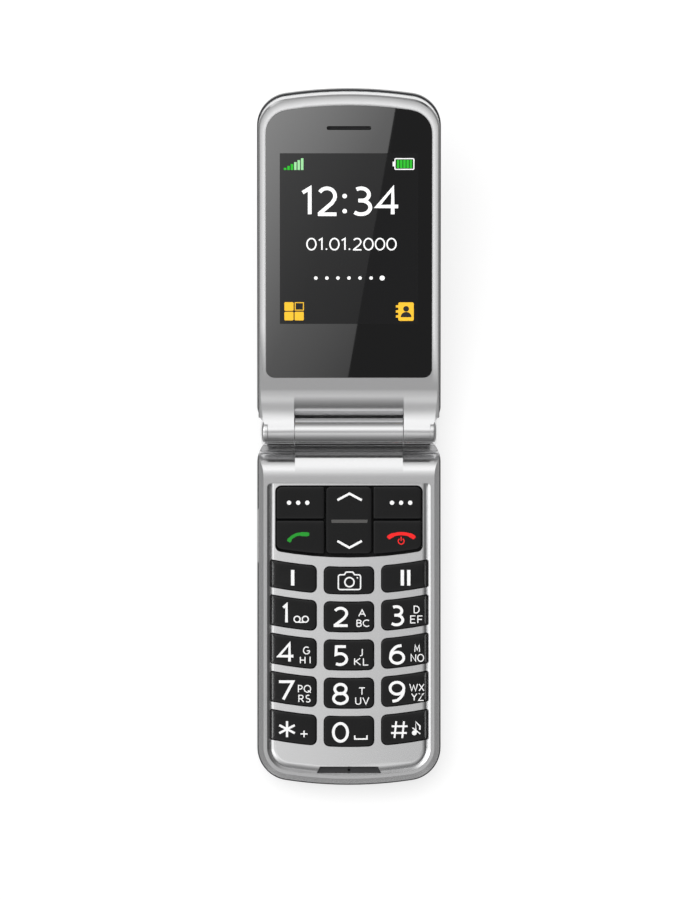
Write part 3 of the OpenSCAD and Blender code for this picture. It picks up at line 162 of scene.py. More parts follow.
class Slab:
    """Thin flat shapes gathered into one outline, between the heights z0 and z1."""

    def __init__(self, z0, z1, lift=None):
        self.z0, self.z1 = z0, z1
        self.lift = lift or (lambda x: 0)
        self.points, self.shapes = [], []

    def poly(self, points):
        pts = [Vector(p) for p in points]
        area = sum(a.x * b.y - b.x * a.y for a, b in zip(pts, pts[1:] + pts[:1]))
        if abs(area) < 1e-9:
            return
        if area < 0:
            pts.reverse()
        base = len(self.points)
        self.points += pts
        self.shapes.append(list(range(base, base + len(pts))))

    def quads(self, left, right, closed=False):
        """Strip between two polylines."""
        n = len(left)
        for k in range(n if closed else n - 1):
            m = (k + 1) % n
            self.poly([left[k], left[m], right[m]])
            self.poly([left[k], right[m], right[k]])

    def line(self, points, width, closed=False):
        """Band of one width along a polyline, mitred at its corners."""
        pts = [Vector(p) for p in points]
        ways = [(b - a).normalized() for a, b in zip(pts, pts[1:] + pts[:1])]
        left, right = [], []
        for i, p in enumerate(pts):
            d0 = ways[i - 1] if i or closed else ways[0]
            d1 = ways[i] if i < len(pts) - 1 or closed else d0
            n0, n1 = Vector((-d0.y, d0.x)), Vector((-d1.y, d1.x))
            m = n0 + n1
            m = n0 if m.length < 1e-6 else m.normalized()
            m = m * (width / 2 / max(0.5, m.dot(n0)))
            left.append(p + m)
            right.append(p - m)
        self.quads(left, right, closed)

    def text(self, text, x0, x1, top, bottom, weight, gap=0.2):
        """Characters that fill the box, with strokes of one weight."""
        glyphs = [GLYPHS[c].split("|") for c in text]
        total = sum(float(g[0]) for g in glyphs) + gap * (len(text) - 1)
        up = 1 if top > bottom else -1
        sx = (x1 - x0 - weight) / total
        sy = (abs(top - bottom) - weight) * up
        x, y = x0 + weight / 2, bottom + weight / 2 * up
        for width, *strokes in glyphs:
            for s in strokes:
                pts = [(x + px * sx, y + py * sy) for px, py in stroke_points(s)]
                if s.startswith("dot"):
                    self.poly(ring(*pts[0], weight * 0.62, 16))
                else:
                    self.line(pts, weight, s.startswith("oval"))
            x += (float(width) + gap) * sx

    def build(self, name, look, body="lid", slot="window_gloss", place=lid_point):
        """Joins what overlaps and gives the joined outline its thickness and its paint."""
        pts, _, tris, _, _, owners = delaunay_2d_cdt(self.points, [], self.shapes, 1, 1e-4)
        tris = [t for t, o in zip(tris, owners) if o]
        n = len(pts)
        verts = [(p.x, p.y, z + self.lift(p.x)) for z in (self.z0, self.z1) for p in pts]
        faces = [tuple(reversed(t)) for t in tris] + [tuple(n + v for v in t) for t in tris]
        edges = {(t[k], t[(k + 1) % 3]) for t in tris for k in range(3)}
        faces += [(a, b, n + b, n + a) for a, b in sorted(edges) if (b, a) not in edges]
        ride(mesh_object(name, verts, faces, place, 0), body, slot, look)


def curve(points, steps=6):
    """Smooth polyline through the points."""
    p = [Vector(points[0]) * 2 - Vector(points[1])] + [Vector(q) for q in points]
    p.append(Vector(points[-1]) * 2 - Vector(points[-2]))
    out = []
    for i in range(1, len(p) - 2):
        for k in range(steps):
            t = k / steps
            out.append(0.5 * ((2 * p[i]) + (p[i + 1] - p[i - 1]) * t
                              + (2 * p[i - 1] - 5 * p[i] + 4 * p[i + 1] - p[i + 2]) * t * t
                              + (3 * p[i] - p[i - 1] - 3 * p[i + 1] + p[i + 2]) * t ** 3))
    return out + [p[-2]]


def arc(cx, cy, rx, ry, a0, a1, steps):
    angles = [radians(a0 + (a1 - a0) * k / max(steps, 1)) for k in range(steps + 1)]
    return [(cx + rx * cos(a), cy + ry * sin(a)) for a in angles]


def ring(cx, cy, r, n=20):
    return [(cx + r * cos(tau * k / n), cy + r * sin(tau * k / n)) for k in range(n)]


# Plain single-line characters in a box one unit high: the width, then strokes made of points, arcs, the
# start of a curve, a closed oval or a dot
GLYPHS = {
    "0": "0.72|oval 0.36 0.5 0.36 0.5 28",
    "1": "0.36|0.28 0 0.28 1 0.02 0.83",
    "2": "0.68|arc 0.33 0.7 0.3 0.3 150 -25 12, 0.5 0.42 0.03 0|0 0 0.68 0",
    "3": "0.66|arc 0.3 0.76 0.29 0.24 125 -70 13, 0.2 0.53|0.2 0.53, arc 0.3 0.265 0.34 0.265 74.0625 -135 15",
    "4": "0.78|0.58 0 0.58 1 0.02 0.3 0.78 0.3",
    "5": "0.64|0.58 1 0.1 1 0.08 0.56, arc 0.28 0.305 0.34 0.305 110 -125 16",
    "6": "0.7|curve 0.58 0.99 0.32 0.92 0.09 0.65 0.03 0.34, arc 0.36 0.31 0.33 0.31 180 540 28",
    "7": "0.66|0 1 0.64 1 0.2 0",
    "8": "0.68|oval 0.34 0.755 0.27 0.245 24|oval 0.34 0.265 0.33 0.265 24",
    "9": "0.7|curve 0.12 0.01 0.38 0.08 0.61 0.35 0.67 0.66, arc 0.34 0.69 0.33 0.31 0 360 28",
    ":": "0.16|dot 0.08 0.12|dot 0.08 0.7",
    ".": "0.16|dot 0.08 0.06",
    "A": "0.76|0 0 0.38 1 0.76 0|0.14 0.34 0.62 0.34",
    "B": "0.58|0.05 0 0.05 1|0.05 1, arc 0.3 0.77 0.22 0.23 90 -90 8, 0.05 0.54"
         "|0.05 0.54, arc 0.31 0.27 0.26 0.27 90 -90 8, 0.05 0",
    "C": "0.74|arc 0.44 0.5 0.42 0.5 50 310 16",
    "D": "0.72|0.05 0 0.05 1, arc 0.28 0.5 0.42 0.5 90 -90 14, 0.05 0",
    "E": "0.5|0.5 1 0.05 1 0.05 0 0.5 0|0.05 0.53 0.44 0.53",
    "F": "0.5|0.5 1 0.05 1 0.05 0|0.05 0.5 0.44 0.5",
    "G": "0.76|arc 0.44 0.5 0.42 0.5 50 340 18, 0.8 0.46 0.48 0.46",
    "H": "0.7|0.05 0 0.05 1|0.65 0 0.65 1|0.05 0.5 0.65 0.5",
    "I": "0.12|0.06 0 0.06 1",
    "J": "0.4|0.34 1, arc 0.1 0.24 0.24 0.24 0 -110 8",
    "K": "0.62|0.05 0 0.05 1|0.56 1 0.07 0.48|0.17 0.57 0.6 0",
    "L": "0.5|0.05 1 0.05 0 0.5 0",
    "M": "0.86|0.05 0 0.1 1 0.43 0.25 0.76 1 0.81 0",
    "N": "0.72|0.05 0 0.05 1 0.67 0 0.67 1",
    "O": "0.84|oval 0.42 0.5 0.4 0.5 24",
    "P": "0.54|0.05 0 0.05 1, arc 0.28 0.73 0.24 0.27 90 -90 8, 0.05 0.46",
    "Q": "0.86|oval 0.42 0.5 0.4 0.5 24|0.48 0.24 0.84 -0.06",
    "R": "0.6|0.05 0 0.05 1, arc 0.28 0.74 0.24 0.26 90 -90 8, 0.05 0.48|0.28 0.48 0.58 0",
    "S": "0.52|arc 0.27 0.745 0.22 0.255 55 262 10, arc 0.25 0.25 0.23 0.25 82 -145 11",
    "T": "0.62|0 1 0.62 1|0.31 1 0.31 0",
    "U": "0.68|0.05 1, arc 0.34 0.3 0.29 0.3 180 360 12, 0.63 1",
    "V": "0.7|0 1 0.35 0 0.7 1",
    "W": "1.02|0 1 0.26 0 0.51 0.85 0.76 0 1.02 1",
    "X": "0.64|0 1 0.64 0|0.64 1 0 0",
    "Y": "0.62|0 1 0.31 0.48 0.62 1|0.31 0.48 0.31 0",
    "Z": "0.6|0.02 1 0.58 1 0.02 0 0.6 0",
    "*": "0.9" + "".join("|0.45 0.5, arc 0.45 0.5 0.46 0.46 %d %d 0" % (a, a)
                         for a in (90, 150, 210, 270, 330, 30)),
    "+": "0.84|0 0.5 0.84 0.5|0.42 0.08 0.42 0.92",
    "#": "0.94|0.2 0 0.3 1|0.64 0 0.74 1|0.04 0.7 0.94 0.7|0 0.3 0.9 0.3",
}


def stroke_points(text):
    """Points of one written stroke."""
    points = []
    for part in text.split(","):
        words = part.split()
        kind = words.pop(0) if words[0].isalpha() else ""
        n = [float(w) for w in words]
        if kind == "arc":
            points += arc(*n[:6], int(n[6]))
        elif kind == "oval":
            points += arc(*n[:4], 90, 450, int(n[4]))[:-1]
        else:
            pairs = list(zip(n[::2], n[1::2]))
            points += curve(pairs)[:-1] if kind == "curve" else pairs
    return points


# ---------- shader maths ----------

class Sock:
    """Wraps a socket so that shader maths reads as plain expressions."""

    def __init__(self, tree, socket):
        self.tree, self.socket = tree, socket

    def _math(self, op, other, flip=False):
        a, b = (other, self) if flip else (self, other)
        return self.tree.node("ShaderNodeMath", {"operation": op}, {0: a, 1: b})[0]

    def __add__(self, o): return self._math("ADD", o)
    def __radd__(self, o): return self._math("ADD", o, True)
    def __sub__(self, o): return self._math("SUBTRACT", o)
    def __rsub__(self, o): return self._math("SUBTRACT", o, True)
    def __mul__(self, o): return self._math("MULTIPLY", o)
    def __rmul__(self, o): return self._math("MULTIPLY", o, True)
    def __gt__(self, o): return self._math("GREATER_THAN", o)
    def __lt__(self, o): return self._math("LESS_THAN", o)


class Tree:
    """Emptied node tree, with the one method that adds a node."""

    def __init__(self, tree):
        self.t = tree
        tree.nodes.clear()

    def node(self, kind, settings=None, inputs=None):
        n = self.t.nodes.new(kind)
        for k, v in (settings or {}).items():
            if k == "stops":
                stops = n.color_ramp.elements
                stops.remove(stops[-1])
                for i, (pos, col) in enumerate(v):
                    e = stops.new(pos) if i else stops[0]
                    e.position, e.color = pos, (col, col, col, 1)
            else:
                setattr(n, k, v)
        for k, v in (inputs or {}).items():
            if isinstance(v, Sock):
                self.t.links.new(v.socket, n.inputs[k])
            else:
                n.inputs[k].default_value = v
        return [Sock(self, o) for o in n.outputs]

    def shader(self, kind, **inputs):
        return self.node("ShaderNode" + kind, inputs=inputs)[0]

    def blend(self, factor, a, b):
        return self.node("ShaderNodeMixShader", inputs={0: factor, 1: a, 2: b})[0]

    def added(self, a, b):
        return self.node("ShaderNodeAddShader", inputs={0: a, 1: b})[0]

    def show(self, surface, output="ShaderNodeOutputMaterial"):
        self.node(output, inputs={"Surface": surface})

    def seen(self):
        """1 for the rays by which the camera, a mirror or a glass sees the background."""
        ray = {o.socket.name: o for o in self.node("ShaderNodeLightPath")}
        return ray["Is Camera Ray"] + ray["Is Glossy Ray"] + ray["Is Transmission Ray"]


class Finish(Tree):
    """Node material of the phone, with its helpers."""

    def __init__(self, name):
        self.m = bpy.data.materials.new(name)
        self.m.use_nodes = True
        super().__init__(self.m.node_tree)

    @cached_property
    def place(self):
        return self.node("ShaderNodeTexCoord")[3]

    def noise(self, scale, detail=2, rough=0.5, stretch=None):
        p = self.place
        if stretch:
            p = self.node("ShaderNodeMapping", inputs={0: p, 3: stretch})[0]
        return self.node("ShaderNodeTexNoise", inputs={"Vector": p, "Scale": scale, "Detail": detail,
                                                       "Roughness": rough})[0]

    def mix(self, factor, a, b):
        full = [v if isinstance(v, Sock) else (*v, 1) for v in (a, b)]
        return self.node("ShaderNodeMix", {"data_type": "RGBA"}, {0: factor, 6: full[0], 7: full[1]})[2]

    def bump(self, height, strength, distance):
        inputs = {"Strength": strength, "Distance": distance, "Height": height}
        return self.node("ShaderNodeBump", inputs=inputs)[0]

    def coat(self, color, roughness, metallic=0, normal=None, **more):
        inputs = {"Base Color": color, "Roughness": roughness, "Metallic": metallic, **more}
        if normal:
            inputs["Normal"] = normal
        return self.node("ShaderNodeBsdfPrincipled", inputs=inputs)[0]

    def surface(self, *args, **more):
        self.show(self.coat(*args, **more))
        return self.m


def scaled(color, k):
    return tuple(min(1, c * k) for c in color)


@cache
def finish(name):
    return MAKERS[name]()


def make_silver():
    p = bpy.context.scene.phone_finish
    f = Finish("silver_lacquer")
    flake = f.noise(5200, 1, 0.6)
    cloud = f.noise(45)
    col = f.mix(flake, scaled(p.silver, 0.97), scaled(p.silver, 1.04))
    col = f.mix(cloud * 0.1, col, scaled(p.silver, 0.9))
    peel = f.noise(900)
    return f.surface(col, 0.17 + 0.05 * flake, 0.97, f.bump(flake * 0.5 + peel, 0.08, 3e-6))


def make_graphite():
    p = bpy.context.scene.phone_finish
    f = Finish("graphite_lacquer")
    flake = f.noise(5200, 1, 0.6)
    col = f.mix((flake - 0.5) * 2.2, scaled(p.graphite, 0.85), scaled(p.graphite, 2.1))
    peel = f.noise(700)
    return f.surface(col, 0.3 + 0.08 * peel, 0.35, f.bump(peel, 0.15, 5e-6),
                     **{"Coat Weight": 0.5, "Coat Roughness": 0.1})


def make_key():
    p = bpy.context.scene.phone_finish
    f = Finish("key_gloss")
    cloud = f.noise(160)
    fine = f.noise(2500)
    col = f.mix(cloud, scaled(p.key, 0.8), scaled(p.key, 1.2))
    return f.surface(col, 0.2 + 0.05 * fine, 0, f.bump(fine, 0.03, 2e-6), **{"IOR": 1.4})


def make_window():
    """Glossy black window; the cell behind it shows lighter, through a clearer film."""
    p = bpy.context.scene.phone_screen
    f = Finish("window_gloss")
    turned = f.node("ShaderNodeMapping", {"vector_type": "TEXTURE"},
                    {0: f.place, 1: tuple(LID_AXIS), 2: (LID_TILT, 0, 0)})[0]
    x, y, _ = f.node("ShaderNodeSeparateXYZ", inputs={0: turned})
    half = p.cell_width / 2
    inside = (x > -half) * (x < half) * (y > p.cell_start) * (y < p.cell_start + p.cell_length)
    grain = f.noise(3000, 1)
    smooth = 0.008 + 0.008 * f.noise(120)
    border = f.coat(f.mix(grain, p.border_color, scaled(p.border_color, 1.3)), smooth, **{"IOR": 1.4})
    cell = f.coat(f.mix(grain, scaled(p.cell_color, 0.94), scaled(p.cell_color, 1.06)), smooth, **{"IOR": 1.16})
    f.show(f.blend(inside, border, cell))
    return f.m


def make_even(name, dark, light, noise, rough, spread, metallic=0, bump=None, **more):
    """Finish in which one noise varies colour, roughness and height."""
    def make():
        f = Finish(name)
        grain = f.noise(*noise)
        return f.surface(f.mix(grain, dark, light), rough + spread * grain, metallic,
                         f.bump(grain, *bump) if bump else None, **more)
    return make


def make_paint(name, color, glow=0, rough=0.4):
    more = {"Emission Color": (*color, 1), "Emission Strength": glow} if glow else {}
    return make_even(name, scaled(color, 0.94), color, (3500, 2), rough, 0.1, 0, (0.05, 2e-6), **more)


def make_steel(name, color, rough, stretch):
    return make_even(name, scaled(color, 0.85), color, (420, 3, 0.6, stretch), rough, 0.14, 1, (0.2, 4e-6))


def make_board():
    f = Finish("board")
    cells = f.node("ShaderNodeTexVoronoi", {"distance": "MANHATTAN"}, {"Vector": f.place, "Scale": 420})[0]
    tracks = f.node("ShaderNodeTexWave", {"wave_type": "BANDS"},
                    {"Vector": f.place, "Scale": 260, "Distortion": 4})[0]
    mask = (tracks > 0.62) * (cells > 0.35)
    col = f.mix(mask, (0.012, 0.075, 0.03), (0.05, 0.17, 0.075))
    return f.surface(col, 0.38, 0, f.bump(mask, 0.3, 1.5e-5))


def make_flex():
    f = Finish("flex_film")
    lines = f.node("ShaderNodeTexWave", {"wave_type": "BANDS", "bands_direction": "X"},
                   {"Vector": f.place, "Scale": 900})[0]
    return f.surface(f.mix(lines > 0.5, (0.42, 0.19, 0.03), (0.62, 0.36, 0.10)), 0.32, 0.1)


MAKERS = {
    "silver_lacquer": make_silver,
    "black_lacquer": make_graphite,
    "key_gloss": make_key,
    "window_gloss": make_window,
    "white": make_paint("legend_white", (0.95,) * 3),
    "green": make_paint("legend_green", (0, 0.3, 0.01)),
    "red": make_paint("legend_red", (0.93, 0, 0)),
    # painted highlight: the grey of the bar across the nav key, standing in for the light along its dividing line
    "groove": make_paint("groove_grey", (0.075, 0.073, 0.07), 0, 0.35),
    "screen_white": make_paint("screen_white", (1,) * 3, 0.25),
    "screen_green": make_paint("screen_green", (0.02, 0.5, 0.02), 0.2),
    "screen_mint": make_paint("screen_mint", (0.35, 0.75, 0.36), 0.2),
    "screen_yellow": make_paint("screen_yellow", (0.98, 0.56, 0.03), 0.2),
    "screen_dark": make_paint("screen_dark", (0.02,) * 3),
    "red_key": make_paint("red_key", (0.52, 0.012, 0.012), 0, 0.25),
    "black_plastic": make_even("matt_black", (0.012, 0.012, 0.013), (0.03, 0.03, 0.032), (2600, 3), 0.5, 0.2, 0,
                               (0.4, 1e-5)),
    "mat_rubber": make_even("mat_rubber", (0.012,) * 3, (0.022,) * 3, (1800, 3), 0.68, 0.15, 0, (0.5, 1e-5)),
    "bright_steel": make_steel("bright_steel", (0.62, 0.62, 0.63), 0.22, (1, 30, 1)),
    "screw_steel": make_steel("dark_steel", (0.12, 0.12, 0.13), 0.3, (20, 1, 1)),
    "frame_aluminium": make_steel("frame_aluminium", (0.68, 0.68, 0.69), 0.3, (25, 1, 1)),
    "gold": make_steel("gold_plate", (0.72, 0.48, 0.16), 0.2, (1, 20, 1)),
    "board": make_board,
    "flex": make_flex,
    "cell_case": make_even("cell_wrap", (0.06, 0.065, 0.075), (0.09, 0.095, 0.11), (1400, 2), 0.35, 0.1, 0.15,
                           (0.1, 4e-6)),
    "lcd_glass": make_even("lens_glass", (0.006, 0.006, 0.009), (0.012, 0.012, 0.02), (90, 1), 0.04, 0.03,
                           IOR=1.6),
}

NODE_SLOT = {s["node"]: s["material_slot"] for s in frame["record"]["subparts"]}
NODE_BODY = {n: b for b, ns in frame["record"]["behaviour"]["bodies"].items() for n in ns}


def paint(ob, name):
    ob.data.materials.clear()
    ob.data.materials.append(finish(name))


def ride(ob, body, slot, look=None):
    """Fixes a piece to its body, in the finish that its slot names or in another."""
    paint(ob, look or slot)
    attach(ob, body)


# ---------- settings ----------

def tint(name, description, default):
    return FloatVectorProperty(name=name, description=description, subtype="COLOR", size=3, default=default,
                               min=0, max=1)


def number(name, description, default, low, high, unit="LENGTH", precision=5):
    return FloatProperty(name=name, description=description, default=default, min=low, max=high, unit=unit,
                         precision=precision)


class PHONE_PG_finish(bpy.types.PropertyGroup):
    silver: tint("Silver", "Colour of the silver lacquer", (0.75, 0.75, 0.755))
    graphite: tint("Graphite", "Colour of the rear shells", (0.022, 0.023, 0.026))
    key: tint("Keys", "Colour of the keycaps", (0.003, 0.003, 0.0032))
    edge: number("Edge", "Width of the rounded edges on the shells", 0.00014, 0.00005, 0.0004)
    rim: number("Key openings", "Width of the edges round the key openings", 0.00028, 0.0001, 0.0005)


class PHONE_PG_keys(bpy.types.PropertyGroup):
    edge: number("Key edge", "Radius of the keycaps' upper edges in millimetres", 0.32, 0.1, 0.6, "NONE", 2)
    roll: number("Roll", "Width over which the side keys roll down, in millimetres", 1.7, 0.5, 2.5, "NONE", 2)
    legend: number("Legend", "Thickness of the legends in millimetres", 0.02, 0.01, 0.05, "NONE", 2)


class PHONE_PG_screen(bpy.types.PropertyGroup):
    cell_width: number("Cell width", "Width of the lit area", 0.0399, 0.03, 0.044)
    cell_start: number("Cell start", "Hinge axis to the lit area", 0.0326, 0.03, 0.036)
    cell_length: number("Cell length", "Length of the lit area", 0.0515, 0.045, 0.055)
    cell_color: tint("Cell", "Colour of the lit area", (0.0145, 0.0145, 0.015))
    border_color: tint("Border", "Colour of the border", (0.002, 0.002, 0.0022))
    clock: StringProperty(name="Clock", description="Digits of the clock", default="12:34")
    line: StringProperty(name="Number line", description="Numbers under the clock", default="01.01.2000")


class PHONE_PG_stage(bpy.types.PropertyGroup):
    lamp: number("Lamp", "Power of the overhead lamp", 8.5, 0, 50, "POWER", 2)
    floor: number("Floor", "How pale the floor is", 0.34, 0, 1, "NONE", 2)
    floor_glow: number("Background", "Brightness added to the floor as it is seen", 0.73, 0, 1, "NONE", 2)
    distance: number("Camera distance", "Camera to the phone", 8, 0.5, 9)
    width: number("View width", "Width seen at the phone's back", 0.2027, 0.1, 0.5)


# ---------- shells ----------

FLAT = 6e-5     # square metres from which a face counts as flat
SMOOTH = cos(radians(28))


def mean(normals):
    """Mean of the directions, each counted once however many faces share it."""
    unlike = []
    for n in normals:
        if all(n.dot(u) < 0.9998 for u in unlike):
            unlike.append(n)
    return sum(unlike, Vector()).normalized()


def corner_normal(face, vert, strips):
    """Direction for smooth shading: flat faces stay flat and the rest run into each other."""
    around = [f for f in vert.link_faces if f not in strips]
    if face in strips:
        if not around:
            return mean(f.normal for f in vert.link_faces if f.normal.dot(face.normal) > 0.5)
        face = max(around, key=lambda f: f.normal.dot(face.normal))
    like = [f for f in around if f.normal.dot(face.normal) > SMOOTH]
    flat = max(like, key=lambda f: f.calc_area())
    if flat.calc_area() > FLAT:
        return face.normal if face.calc_area() > FLAT else flat.normal
    return mean(f.normal for f in like)


def smoothed_copy(node, name, edge, skip=None):
    """Merged, smoothed copy of a CAD node, with small rounded edges and without the faces that skip picks."""
    src = frame["nodes"][node]
    me = src.data.copy()
    me.transform(src.matrix_world)
    bm = bmesh.new()
    bm.from_mesh(me)
    bmesh.ops.remove_doubles(bm, verts=bm.verts, dist=2e-6)
    bmesh.ops.dissolve_limit(bm, angle_limit=radians(0.6), verts=bm.verts, edges=bm.edges)
    if skip:
        bmesh.ops.delete(bm, geom=[f for f in bm.faces if skip(f)], context="FACES_ONLY")
    sharp = [e for e in bm.edges if edge and len(e.link_faces) == 2 and e.calc_face_angle() > radians(38)]
    made = bmesh.ops.bevel(bm, geom=sharp, offset=edge or 1e-5, offset_type="OFFSET", segments=2, profile=0.5,
                           affect="EDGES", clamp_overlap=True, loop_slide=True, material=-1)
    strips = set(made["faces"])
    bm.normal_update()
    normals = [corner_normal(f, v, strips) for f in bm.faces for v in f.verts]
    bm.to_mesh(me)
    bm.free()
    me.shade_smooth()
    me.normals_split_custom_set(normals)
    return linked(name, me)


def nick_wall(face):
    """Picks the walls of the nicks that the lid's corner cuts leave in its knuckles."""
    if abs(face.normal.dot(LID_UP)) > 0.02:
        return False
    return all(0.020 < abs(v.co.x) < 0.02355 and -0.0021 < (v.co - LID_AXIS).dot(LID_ALONG) < 0.0002
               and v.co.z > 0.0045 for v in face.verts)


def knuckle_sleeves():
    """Sleeves just under the knuckles' skin, which close their nicks."""
    start, end, bore, skin = 19.8, 23.45, 2.6, 4.036
    verts, faces = [], []
    for side in (-1, 1):
        rings = [[(side * x, r * cos(a), r * sin(a)) for a in (tau * k / 96 for k in range(96))]
                 for x, r in ((start, bore), (start, skin), (end, skin), (end, bore), (start, bore))]
        v, f = loft(rings, False)
        faces += [tuple(len(verts) + i for i in face) for face in f]
        verts += v
    ride(mesh_object("knuckle_sleeves", verts, faces, lid_point), "lid", "silver_lacquer")


class PHONE_OT_shells(bpy.types.Operator):
    """Dresses the shells, the keypad plate and the hinge caps in smooth lacquer"""
    bl_idname = "phone.shells"
    bl_label = "Shells"

    def execute(self, context):
        p = context.scene.phone_finish
        for node in ("base_front_shell", "lid_front_shell", "keypad_plate", "hinge_caps", "base_rear_shell",
                     "lid_rear_shell", "battery_cover"):
            ob = smoothed_copy(node, node + "_skin", p.rim if node == "keypad_plate" else p.edge,
                               nick_wall if node == "lid_front_shell" else None)
            ride(ob, NODE_BODY[node], NODE_SLOT[node])
            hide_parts(node)
        knuckle_sleeves()
        return {"FINISHED"}


# ---------- keys ----------

def bowed(x0, x1, y, n):
    """Points along a row that bows like the phone's far end."""
    return [(x, y - sag(x)) for x in (x0 + (x1 - x0) * k / n for k in range(n + 1))]


def key_outline(x0, x1, y0, y1, left_r, right_r, inset):
    a, b = x0 + inset, x1 - inset
    lr, rr = max(left_r - inset, 0.12), max(right_r - inset, 0.12)
    return rounded(bowed(a, b, y0 + inset, 6) + bowed(a, b, y1 - inset, 6)[::-1],
                   [lr] + [0] * 5 + [rr, rr] + [0] * 5 + [lr])


def block_outline(calls, side, inset):
    """Outline of the soft key on that side, or of the call or end key beyond it."""
    a, b, r = BLOCK_IN + inset, BLOCK_OUT - inset, max(KEY_R - inset, 0.3)
    if calls:
        near, far = BLOCK_SPLIT + HALF_GAP + inset, bowed(a, b, BLOCK_FAR - inset, 5)[::-1]
        line = rounded([(a, near), (b, near)] + far, [0.5, 0.5, r, 0, 0, 0, 0, 0.5])
    else:
        near, far = BLOCK_NEAR + inset, BLOCK_SPLIT - HALF_GAP - inset
        line = rounded([(a, near), (b, near), (b, far), (a, far)], [0.5, r, 0.5, 0.5])
    return [(x * side, y) for x, y in line]


def nav_outline(inset):
    return box(-NAV_OUT + inset, BLOCK_NEAR + inset, NAV_OUT - inset, NAV_FAR - inset, max(NAV_R - inset, 0.3), 8)


UPPER_ROW, UPPER_LEN = 39.1, 7.8
DIGIT_ROW, DIGIT_LEN, PITCH = 49.2, 8.67, 11.04
# key, column, near edge at the middle of the phone and length
GRID_KEYS = [(name, column, UPPER_ROW, UPPER_LEN)
             for column, name in zip(COLUMNS, ("memory_key_one", "camera_key", "memory_key_two"))]
GRID_KEYS += [("key_" + n, column, DIGIT_ROW + PITCH * r, DIGIT_LEN)
              for r, row in enumerate(("123", "456", "789", ("star", "0", "hash")))
              for column, n in zip(COLUMNS, row)]
ROLLED = [name for name, column, *_ in GRID_KEYS if column]


def roll_lift(x):
    """Height of the side keys' faces, which fall toward their outer edge."""
    w = bpy.context.scene.phone_keys.roll
    d = abs(x) - (SIDE_KEY_OUT - w)
    return -ROLL_DEPTH * (d / w) ** 2 if d > 0 else 0


def key_object(name, outline):
    """Keycap: its wall, its rounded upper edge and a slightly crowned face."""
    edge = bpy.context.scene.phone_keys.edge
    rim = KEY_TOP - 0.05
    # how far in from the outline and how high each ring lies
    steps = [(0, KEY_BOTTOM), (0, rim - edge)]
    steps += [(edge * (1 - cos(a)), rim - edge * (1 - sin(a))) for a in (pi / 2 * k / 5 for k in range(1, 6))]
    steps += [(edge + 0.5, KEY_TOP - 0.02), (edge + 1.3, KEY_TOP)]
    rings = [[(x, y, z + (roll_lift(x) if name in ROLLED and z > KEY_BOTTOM else 0)) for x, y in outline(i)]
             for i, z in steps]
    ob = mesh_object(name + "_cap", *loft(rings), base_point, 30)
    ride(ob, name + "_body", "key_gloss")
    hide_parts(name)


class PHONE_OT_keys(bpy.types.Operator):
    """Makes the keycaps with rounded edges and rolled outer sides"""
    bl_idname = "phone.keys"
    bl_label = "Keys"

    def execute(self, context):
        for name, column, y0, h in GRID_KEYS:
            radii = [TIGHT_R if column == side else KEY_R for side in (-1, 1)]
            key_object(name, partial(key_outline, *COLUMNS[column], y0, y0 + h, *radii))
        for name, calls, side in (("soft_key_left", False, -1), ("soft_key_right", False, 1),
                                  ("call_key", True, -1), ("end_key", True, 1)):
            key_object(name, partial(block_outline, calls, side))
        key_object("nav_key", nav_outline)
        return {"FINISHED"}


# ---------- legends ----------

class Legend(Slab):
    """Printed marks of one key, drawn on its face; the grey bar across the nav key is a painted highlight
    instead.
    """

    def __init__(self, key, look="white"):
        super().__init__(KEY_TOP - 0.005, KEY_TOP + bpy.context.scene.phone_keys.legend,
                         roll_lift if key in ROLLED else None)
        self.key, self.look = key, look

    def band(self, mid, thick, thin):
        """Handset shape along a centre line: thick at both ends, thin between, with rounded tips."""
        left, right = [], []
        n = len(mid) - 1
        for i, (x, y) in enumerate(mid):
            a, b = mid[max(i - 1, 0)], mid[min(i + 1, n)]
            d = Vector((b[0] - a[0], b[1] - a[1])).normalized()
            w = (thin if 0.24 <= i / n <= 0.76 else thick) * (0.72 if i in (0, n) else 1) / 2
            left.append((x - d.y * w, y + d.x * w))
            right.append((x + d.y * w, y - d.x * w))
        self.quads(left, right)

    def done(self, tag):
        self.build(f"{self.key}_{tag}", self.look, self.key + "_body", "key_gloss", base_point)


DIGIT_WEIGHT = {"*": 0.64, "#": 0.54}
LETTER_WEIGHT = 0.3
